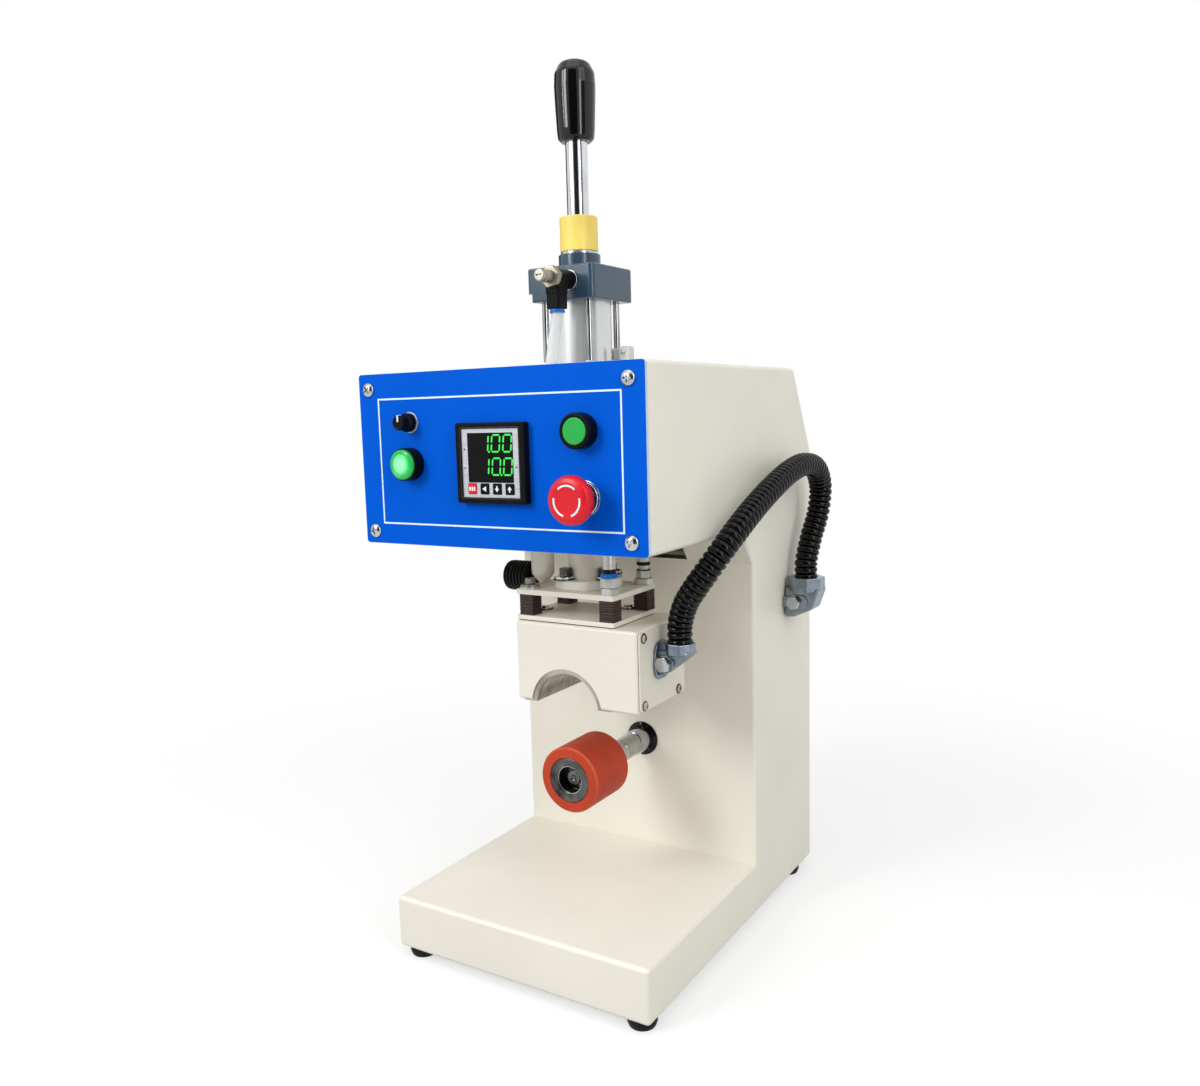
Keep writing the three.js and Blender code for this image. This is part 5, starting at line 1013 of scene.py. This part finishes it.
# Press head: plates, spacers, nuts and guide posts. Stacks as in stacked()
plates = {
    "upper": ((-180.6, -75), (84, 162), 1.5, "z", (333, 338), "creamPaint", 0.6), "upperHole": (332, 339),
    "lower": ((-180.6, -75), (84, 162), 1.5, "z", (309.3, 313.6), "creamPaint", 0.6),
    # shadeStrip: a thin dark sheet under the lower plate, painted shade of the shadowed gap beneath it
    "shadeStrip": ((-179.8, -75.8), (84.8, 161.2), 1, "z", (308.6, 309.5), "footRubber", 0.1, 1),
    "lowerHole": (307, 315), "hole": 4.8, "boltHole": 3.8,
    "corners": {"front_left": (-170, 92), "front_right": (-83, 92), "rear_right": (-83, 154),
                "rear_left": (-170, 154)},
    "studs": ((-170, 92), (-170, 154)), "stud": (4.5, (308.8, 341)), "turns": (14, 25),
    "studStack": [("washer", "paleCasting", 9.8, 338, 339.9, 0), ("washer", "tanSteel", 8.6, 339.7, 341.9, 0),
                  ("hex", "tanSteel", 9.4, 341.7, 347.6, 0)],
    "screws": ((-171.8, 117), (-99.6, 152.5)),
    "screwStack": [("washer", "darkSteel", 8.6, 313.6, 314.7, 0), ("washer", "chrome", 7.4, 314.6, 315.6, 0),
                   ("hex", "chrome", 7.4, 315.5, 317.1, 20)],
    "post": [(0, 308.9), (4.5, 308.9), (4.5, 357), (6, 357.6, 0.3), (6, 483.1, 0.8), (0, 483.1)],
}
spacer = {"half": (7.5, 7.5), "corner": 0.8, "row": ("z", (313.6, 333), "brownLaminate", 0.4),
          "hole": (312, 335), "grooves": (317.2, 320.6, 324.0, 327.4, 330.2), "groove": 0.35,
          "outer": (9, 9), "inner": (6.9, 6.9), "innerHigh": 1}
guideStacks = {
    "front": (8, [("hex", "paleCasting", 15.6, 338, 344, 0), ("hex", "paleCasting", 15, 344.3, 353.2, 23)],
              [(4.5, 353.1), (8.3, 353.1, 0.4), (8.1, 355.2, 0.4), (7.3, 357.4, 0.9), (4.5, 357.4)],
              [("washer", "holeSteel", 6.2, 357.4, 361.2, 4.5)]),
    "rear": (22, [("hex", "paleCasting", 16, 338, 343.6, 0), ("hex", "paleCasting", 12.6, 343.9, 351, 17)],
             None,
             [("washer", "darkSteel", 6.6, 350.8, 352, 4.5), ("washer", "holeSteel", 6.5, 356, 359.4, 4.5)]),
}
flange = {
    "body": [(0, 338), (31.8, 338, 1), (31.8, 346.5, 1), (18.9, 346.5, 1.5), (18.7, 350), (18.7, 372.5, 4),
             (10.1, 372.5), (10.1, 342.3), (0, 342.3)],
    "circle": 24.8, "angles": (-26, 70, 154, 244), "outward": 0.06, "turns": (10, 27),
    "washers": [("washer", "darkSteel", 9.9, 346.4, 348.0, 0), ("washer", "chrome", 9.4, 347.9, 349.8, 0)],
    "head": [("hex", "darkSteel", 11.2, 349.7, 357.2, 0)],
    "bolt": [(0, 328), (3.5, 328, 0.6), (3.5, 346), (0, 346)],
}
flangeBolts = [(axis[0] + flange["circle"] * math.sin(math.radians(a)),
                axis[1] - flange["circle"] * math.cos(math.radians(a))) for a in flange["angles"]]


def pinned(shape, radius, ends, places):
    return cut(shape, *[pin(radius, ends, (*place[:2], 0), "z", sides=24) for place in places])


def makeSpacer(corner, place):
    s = spacer
    shape = prism(oblong(place, s["half"], s["corner"]), *s["row"])
    grooves = [cut(prism(oblong(place, s["outer"]), "z", around(z, s["groove"])),
                   prism(oblong(place, s["inner"]), "z", around(z, s["innerHigh"]))) for z in s["grooves"]]
    pinned(cut(shape, *grooves), plates["hole"], s["hole"], [place])
    fitted("laminate_" + corner, "press_head", "brown_laminate", ["spacer_" + corner], shape)


def makePlates():
    p = plates
    upper, lower, shadeStrip = (slab(*p[name]) for name in ("upper", "lower", "shadeStrip"))
    pinned(upper, p["hole"], p["upperHole"], p["corners"].values())
    pinned(upper, p["boltHole"], p["upperHole"], flangeBolts)
    fitted("mount_plate", "press_head", "cream_paint", ["upper_plate"], upper)
    for shape in (lower, shadeStrip):
        pinned(shape, p["hole"], p["lowerHole"], guides.values())
    hardware = []
    first, step = p["turns"]
    for k, (x, y) in enumerate(p["studs"]):
        hardware += [pin(*p["stud"], (x, y, 0), "z", sides=40, finish="brightSteel"),
                     *stacked(x, y, p["studStack"], first + step * k)]
    for x, y in p["screws"]:
        hardware += stacked(x, y, p["screwStack"])
    fitted("insulator_plate", "press_head", "cream_paint", ["lower_plate"], lower, shadeStrip, *hardware)
    for corner, place in p["corners"].items():
        makeSpacer(corner, place)


def makeGuides():
    for end, (spin, nuts, sleeve, washers) in guideStacks.items():
        place = guides[end]
        x, y = place[:2]
        fitted(end + "_guide", "press_head", "bright_steel", ["guide_post_" + end],
               turned(plates["post"], place, "z", "paleCasting", sides=64),
               *stacked(x, y, nuts, spin),
               *([turned(sleeve, place, "z", "blueNylon", sides=56)] if sleeve else []),
               *stacked(x, y, washers))


def makeFlange():
    f = flange
    parts = [turned(f["body"], axis, "z", sides=96)]
    first, step = f["turns"]
    for k, (x, y) in enumerate(flangeBolts):
        outX, outY = (x - axis[0]) * f["outward"], (y - axis[1]) * f["outward"]
        parts += [*stacked(x + outX, y + outY, f["washers"]), *stacked(x, y, f["head"], first + step * k),
                  turned(f["bolt"], (x, y, 0), "z", "darkSteel", sides=32)]
    fitted("flange", "press_head", "cream_paint", ["rod_flange"], *parts)


makePlates()
makeGuides()
makeFlange()
print("plates and flange built")

# Heated mould inside its sheet cover
cover = {
    "x": (-180, -50.5), "y": (80.5, 169.5), "z": (233.6, 308.6), "sheet": 1.5, "edge": 3,
    "mouldHole": ((-178.5, -78.2), (82, 168), (232.6, 236.1)),
    "sideHole": ((-53, -50), (92.5, 157.5), (245.6, 296.6)),
    "arch": (38.5, (79, 171), (press["x"], 0, 228.8), "y", 128),
    "mould": ((-174.5, -78.5), (82.3, 167.7), (232.6, 285.6), "mouldSteel"), "mouldEdge": 0.7,
    "mouldHoles": [(33.5, (80, 170), (press["x"], 0, 228.8), "y", 128),
                   (5.3, (-130, -60), (0, 102, 273.3), "x"), (5.3, (-130, -60), (0, 150, 273.3), "x")],
    "side": ((82.5, 167.5), (235.6, 306.6), 4, "x", (-50.0, -48.5), "creamDarker", 0.5),
    # seamShade: a thin dark sheet behind the side plate's rim, painted shade of the shadowed gap around the
    # plate
    "seamShade": ((83.1, 166.9), (236.2, 306), 3.5, "x", (-50.45, -49.9), "footRubber", 0.05, 1),
    "screws": ((90, 240.6), (154.5, 240.6), (154.5, 301.6), (90, 301.6)), "turns": (12, 30),
    "washer": (-48.6, (4.7, 0.9)), "screw": (-47.8, (3.9, 1.9)),
}


def makeCover():
    c = cover
    shell = rounded(block(c["x"], c["y"], c["z"]), c["edge"], steps=4)
    inside = [(low + c["sheet"], high - c["sheet"]) for low, high in (c["x"], c["y"], c["z"])]
    cut(shell, block(*inside))
    cut(shell, block(*c["mouldHole"]), block(*c["sideHole"]), pin(*c["arch"]))
    fitted("cover_shell", "press_head", "cream_paint", ["head_cover"], shell)
    mould = cut(block(*c["mould"]), *[pin(*hole) for hole in c["mouldHoles"]])
    fitted("mould", "press_head", "dark_steel", ["heat_block"], rounded(mould, c["mouldEdge"], steps=2))
    (washerX, washerSize), (screwX, screwSize), (first, step) = c["washer"], c["screw"], c["turns"]
    screws = []
    for k, (y, z) in enumerate(c["screws"]):
        screws += [washer((washerX, y, z), toRight, *washerSize, "darkSteel"),
                   crossScrew((screwX, y, z), toRight, *screwSize, "tanSteel", first + step * k)]
    fitted("side_plate", "press_head", "cream_paint", ["side_cover"], slab(*c["side"]), slab(*c["seamShade"]),
           *screws)


makeCover()

# Clamp elbows of the conduit hose
elbows = {
    "head_clamp": {"node": "head_elbow", "body": "press_head", "wall": -48.5, "reach": 20.5, "y": 120,
                   "top": 294, "ring": 26, "bulge": 0.1},
    "column_clamp": {"node": "column_elbow", "body": "frame", "wall": 0, "reach": 20, "y": 308,
                     "top": 328, "ring": 35, "bulge": 0.3},
}
# Shares of the ring's width: heights under the ring's top, then sizes. The rest is in millimetres.
elbow = {
    "ringFoot": 0.4, "foot": 1.18, "webFoot": 0.7, "webTop": 0.2, "bolt": (0.36, 0.34, 0.72),
    "flange": (0.525, 0.665), "flangeCorner": 0.38, "wedgeHalf": 0.34, "webHalf": 0.26, "toe": (0.3, 0.1),
    "heel": (0.57, 0.24), "boss": (0.21, 0.16, 0.02),
    "flangeThick": 3, "inWall": 1, "inset": 0.6, "overlap": 3, "shoulder": 0.5, "webInset": 0.8,
    "edge": 0.9, "wedgeEdge": 1.5, "webEdge": 0.8, "corner": 2.0,
    "hole": 11.8, "holeDeep": 9, "bossEnd": 2.6, "bossCorner": 0.8,
    "lug": (3, 6), "lugCorner": 2, "lugFrom": 0.5, "lugPast": 2, "toeRise": 1,
    "washers": ((0.6, 8.2, 0.9, "darkSteel"), (-0.2, 7.5, 1.2, "chrome")),
    "nut": (13.4, 1.2, 7, "brightSteel", 9, 1.3),
}


def elbowBody(e, axisX):
    s, finish = elbow, "zincCasting"
    ring, wall, y, top, bend = e["ring"], e["wall"], e["y"], e["top"], e["bulge"]
    inWall, outer, joint = wall + s["inWall"], axisX + ring / 2 - s["inset"], wall + s["overlap"]
    ringFoot, foot, webFoot = (top - ring * s[name] for name in ("ringFoot", "foot", "webFoot"))
    wide, high = (ring * share for share in s["flange"])
    flangePlate = prism(oblong((y, top - high), (wide, high), ring * s["flangeCorner"]), "x",
                        (wall, wall + s["flangeThick"]), finish, s["edge"])
    (toe, toeCorner), (heel, heelCorner) = s["toe"], s["heel"]
    wedge = prism([(inWall, foot), (wall + e["reach"] * (toe + bend), foot + s["toeRise"], ring * toeCorner),
                   (axisX + ring * bend, foot + ring * (heel - bend), ring * heelCorner),
                   (outer, ringFoot + s["shoulder"]), (outer, ringFoot + s["overlap"]),
                   (inWall, ringFoot + s["overlap"])],
                  "y", around(y, ring * s["wedgeHalf"]), finish, s["wedgeEdge"])
    webTop = top - s["webInset"]
    web = prism([(inWall, webFoot), (axisX, webFoot), (axisX, webTop), (joint, webTop),
                 (inWall, top - ring * s["webTop"])],
                "y", around(y, ring * s["webHalf"]), finish, s["webEdge"])
    reach = ring / 2 / math.cos(math.pi / 8)
    angles = [math.pi / 8 + math.pi / 4 * k for k in range(8)]
    corners = [(axisX + reach * math.cos(a), y + reach * math.sin(a), s["corner"]) for a in angles]
    octagon = prism(corners, "z", (ringFoot, top), finish, s["edge"])
    body = boolean(octagon, [wedge, web, flangePlate], "UNION")
    return cut(body, pin(s["hole"], (top - s["holeDeep"], top + 1), (axisX, y, 0), "z", sides=64))


def makeElbow(name, e):
    s, finish = elbow, "zincCasting"
    ring, wall, y, top = e["ring"], e["wall"], e["y"], e["top"]
    body = elbowBody(e, wall + e["reach"])
    bolt = Vector((wall, y, top)) + Vector((1, -1, -1)) * Vector(s["bolt"]) * ring
    radius, aside, above = (ring * share for share in s["boss"])
    profile = [(0, 0), (radius, 0), (radius, s["bossEnd"], s["bossCorner"]), (0, s["bossEnd"])]
    boss = turned(profile, (0, 0, 0), "z", finish, sides=48)
    moved(boss, bolt + Vector((aside, s["inset"], above)), toFront)
    lug = prism(oblong((bolt.y, bolt.z), s["lug"], s["lugCorner"]), "x",
                (wall + s["lugFrom"], bolt.x + s["lugPast"]), finish, s["webEdge"])
    washers = [washer(bolt + Vector((0, behind, 0)), toFront, *rest) for behind, *rest in s["washers"]]
    fitted(name, e["body"], "zinc", [e["node"]], body, lug, boss, *washers, hexHead(bolt, toFront, *s["nut"]))


for name, e in elbows.items():
    makeElbow(name, e)
print("head and elbows built")

# Ribbed conduit hose from the head's elbow over to the column's elbow
hose = {"ribs": 71, "perRib": 10, "crest": 11.5, "valley": 9.2, "swell": 0.5, "sides": 32, "path": [
    (-28, 120, 285.3), (-28, 120, 296.8), (-28, 120, 308.3), (-21, 116.5, 328), (-8.5, 110.5, 344.5),
    (4.5, 110, 361.5), (15.5, 118.5, 380), (21.5, 139, 397), (24, 168.5, 412), (26, 204.5, 426.5),
    (27, 245, 438.5), (28, 281, 443.5), (29, 310.5, 438), (28, 328, 419), (25.5, 328, 392), (22, 317, 367),
    (20, 308, 342.3), (20, 308, 330.8), (20, 308, 319.3)]}


def makeHose():
    count = hose["ribs"] * hose["perRib"]
    places, length = curvePoints(hose["path"], count)
    valley, deep = hose["valley"], hose["crest"] - hose["valley"]
    waves = [abs(math.sin(math.pi * k / hose["perRib"])) ** hose["swell"] for k in range(count + 1)]
    radii = [valley + deep * wave for wave in waves]
    piece = fitted("ribbed_hose", None, "black_rubber", ["conduit_hose"],
                   swept(places, radii, "blackRubber", hose["sides"]), least=60)
    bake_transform(piece)
    print("hose", round(length), "mm long")


makeHose()

# Roller on its shaft
roller = {
    "sleeve": [(21.4, 82), (29.4, 82, 0.4), (31.2, 83.8, 0.4), (31.2, 137.2, 0.4), (29.4, 139, 0.4),
               (21.4, 139)],
    "edge": (29.5, 31.15), "slope": 0.25,
}
onRollerAxis = [
    ("roller_core", "roller", "dark_steel", "roller_hub", [
        ("darkSteel", 128, [(13.3, 82.8, 0.3), (14.2, 82), (20.6, 82, 0.3), (21.3, 82.7), (21.3, 139),
                            (8.8, 139), (8.8, 96), (13.3, 96)]),
        # The nearly black ring inside the hub's bore is painted shade of the recess
        ("holeSteel", 96, [(12.0, 86.5), (13.35, 86.5), (13.35, 89.0), (12.4, 89.0)]),
        ("turnedSteel", 96, [(12.6, 83.4), (13.35, 83.4), (13.35, 84.6), (12.6, 84.6)])]),
    ("roller_axle", "frame", "bright_steel", "roller_shaft", [
        ("turnedSteel", 128, [(0, 95.7), (8.5, 95.7), (8.5, 141), (11.6, 141, 0.6), (11.6, 171.2, 0.3),
                              (11.3, 171.6), (11.3, 172.2), (11.6, 172.6, 0.3), (11.6, 200), (12.6, 200, 0.4),
                              (12.6, 224.5), (26, 224.5, 0.6), (26, 232.5, 0.6), (12.6, 232.5), (12.6, 262.5),
                              (0, 262.5)]),
        ("darkSteel", 96, [(0, 91.2), (1.6, 90.6, 0.5), (3.0, 89.7, 0.4), (7, 89.7, 0.8), (7, 93.7),
                           (11.5, 93.7, 0.4), (11.5, 95.7), (0, 95.7)])]),
    ("axle_seal", "frame", "black_rubber", "shaft_seal", [
        ("blackRubber", 96, [(12.9, 218.6), (14.2, 218.5, 0.4), (15.2, 219.4, 0.5), (17.5, 220.6, 0.8),
                             (17.5, 222), (12.9, 222)])]),
]


def makeRoller():
    sleeve = turned(roller["sleeve"], rollerAxis, "y", "siliconeRubber", sides=128)
    sleeve.data.materials.append(finishes["siliconeEdge"])
    low, high = roller["edge"]
    for face in sleeve.data.polygons:
        reach = math.hypot(face.center.x - rollerAxis[0], face.center.z - rollerAxis[2])
        if low < reach < high and abs(face.normal.y) > roller["slope"]:
            face.material_index = 1
    fitted("roller_rubber", "roller", "silicone", ["roller_sleeve"], sleeve)
    turnedPieces(onRollerAxis, rollerAxis, "y")


makeRoller()

# Pressure regulator under the head box. A rib of its knob: radius, share of the pitch, corner
regulator = {
    "place": (-173, 118, 0), "knobPlace": (0, 118, 344.5), "knob": (-212.3, -185.5), "ribs": 7,
    "bowl": [(0, 339.7), (5, 340.6, 6), (11, 348, 8), (11, 384.9), (0, 384.9)],
    "front": (10.5, 1.5), "firstRib": 13.4, "rib": ((14.6, 0.30, 0.9), (14.8, 0.74, 0.9), (13.0, 0.98, 0.3)),
    "end": 12.4, "stem": (4, -175.2), "flutes": (24, 0.35),
}


def makeRegulator():
    r = regulator
    fitted("regulator_bowl", "frame", "cream_paint", ["regulator_body"], turned(r["bowl"], r["place"], "z"))
    first, last = r["knob"]
    pitch = (last - first) / r["ribs"]
    ribs = [(radius, first + k * pitch + pitch * share, corner)
            for k in range(r["ribs"]) for radius, share, corner in r["rib"]]
    ribs[0] = (r["firstRib"], *ribs[0][1:])
    stem, stemEnd = r["stem"]
    profile = [(0, first), (r["front"][0], first, r["front"][1]), *ribs, (r["end"], last), (stem, last),
               (stem, stemEnd), (0, stemEnd)]
    fitted("regulator_grip", "pressure_knob", "black_plastic", ["regulator_knob"],
           turned(profile, r["knobPlace"], "x", "blackGrip", 96, *r["flutes"]))


makeRegulator()
print("roller and regulator built")

# Nodes that keep their own shape, inside the machine
inside = {"cylinder_bottom_cap": "slatePaint", "solenoid_valve": "blackPlastic",
          "heating_element": "brightSteel"}
for name, finish in inside.items():
    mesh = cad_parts[name].data
    mesh.materials.clear()
    mesh.materials.append(finishes[finish])

# Studio: pale floor, soft lights, dark cards that only metal reflects. Lamps: place, power, size;
# cards: place, width, height, tone
studio = {
    "world": 0.59, "target": (0, 0, 0.42), "floor": 6.0, "fadeFrom": 0.42, "fadeTo": 1.05, "rough": 0.9,
    "floorColour": (0.42, 0.42, 0.42, 1), "floorGlow": 0.58, "bounce": (0.42, 0.42, 0.41, 1),
    "lamps": {"key": ((-0.98, -2.25, 1.64), 30.0, (0.6, 1.35)),
              "leftStrip": ((-1.65, -2.1, 1.68), 7.0, (0.12, 0.85)),
              "rightStrip": ((2.2, -1.25, 0.9), 13.0, (0.35, 1.7)),
              "fill": ((2.1, -0.6, 2.1), 12.0, (1.4, 1.4)), "top": ((0.1, -0.6, 2.9), 10.0, (1.8, 1.8))},
    "cards": {"behindCamera": ((0.80, -2.16, 0.9), 1.95, 2.6, 0.012),
              "rightCard": ((2.5, -0.5, 0.9), 0.8, 2.4, 0.25),
              "leftCard": ((-2.5, 0.9, 0.9), 1.8, 2.6, 0.10)},
}
white = (1, 1, 1, 1)


def backgroundRays(owner):
    # 1 for what the camera sees of the background, directly, mirrored or through clear pieces
    rays = node(owner, "ShaderNodeLightPath").outputs
    total = rays["Is Camera Ray"]
    for output in ("Is Glossy Ray", "Is Transmission Ray"):
        total = node(owner, "ShaderNodeMath", {0: total, 1: rays[output]}, operation="MAXIMUM").outputs[0]
    return total


def mixed(owner, share, first, second):
    return node(owner, "ShaderNodeMixShader", {0: share, 1: first.outputs[0], 2: second.outputs[0]})


def makeWorld():
    world = bpy.data.worlds.new("studio")
    scene.world = world
    world.use_nodes = True
    lighting = world.node_tree.nodes["Background"]
    lighting.inputs["Color"].default_value = white
    lighting.inputs["Strength"].default_value = studio["world"]
    seen = node(world, "ShaderNodeBackground", {"Color": white, "Strength": 1.0})
    mix = mixed(world, backgroundRays(world), lighting, seen)
    link(world, mix.outputs[0], world.node_tree.nodes["World Output"], "Surface")


def sheet(name, halfX, halfY, z, material):
    mesh = bpy.data.meshes.new(name)
    corners = [(a * halfX, b * halfY, z) for a, b in ((-1, -1), (1, -1), (1, 1), (-1, 1))]
    mesh.from_pydata(corners, [], [(0, 1, 2, 3)])
    mesh.materials.append(material)
    return bpy.data.objects.new(name, mesh)


def makeFloor():
    level = cadBounds[0][2]
    material, shader = newFinish("paleFloor", Base_Color=studio["floorColour"], Roughness=studio["rough"],
                                 Specular_IOR_Level=0.0, Emission_Color=white,
                                 Emission_Strength=studio["floorGlow"])
    plain = node(material, "ShaderNodeBsdfDiffuse", {"Color": studio["bounce"]})
    blank = node(material, "ShaderNodeEmission", {"Color": white, "Strength": 1.0})
    apart = node(material, "ShaderNodeVectorMath", {0: objectPlace(material), 1: (0, 0, level)},
                 operation="DISTANCE")
    fade = node(material, "ShaderNodeMapRange", {
        "Value": apart.outputs["Value"], "From Min": studio["fadeFrom"], "From Max": studio["fadeTo"]},
        interpolation_type="SMOOTHSTEP")
    seen = mixed(material, fade.outputs["Result"], shader, blank)
    both = mixed(material, backgroundRays(material), plain, seen)
    link(material, both.outputs[0], material.node_tree.nodes["Material Output"], "Surface")
    floor = sheet("floor", studio["floor"], studio["floor"], level, material)
    scene.collection.objects.link(floor)


def aimed(thing, place, target):
    way = Vector(target) - Vector(place)
    thing.matrix_world = Matrix.Translation(place) @ way.to_track_quat("-Z", "Y").to_matrix().to_4x4()
    scene.collection.objects.link(thing)


def makeLights():
    for name, (place, power, size) in studio["lamps"].items():
        data = bpy.data.lights.new(name, "AREA")
        data.shape = "RECTANGLE"
        data.energy = power
        data.size, data.size_y = size
        aimed(bpy.data.objects.new(name, data), place, studio["target"])
    for name, (place, width, height, tone) in studio["cards"].items():
        finish = newFinish(name, Base_Color=(tone, tone, tone, 1), Roughness=1.0)[0]
        card = sheet(name, width / 2, height / 2, 0, finish)
        aimed(card, place, (0, 0, place[2]))
        card.visible_camera = card.visible_diffuse = card.visible_shadow = card.visible_transmission = False


makeWorld()
makeFloor()
makeLights()
scene.view_settings.view_transform = "Standard"
print("studio lit")
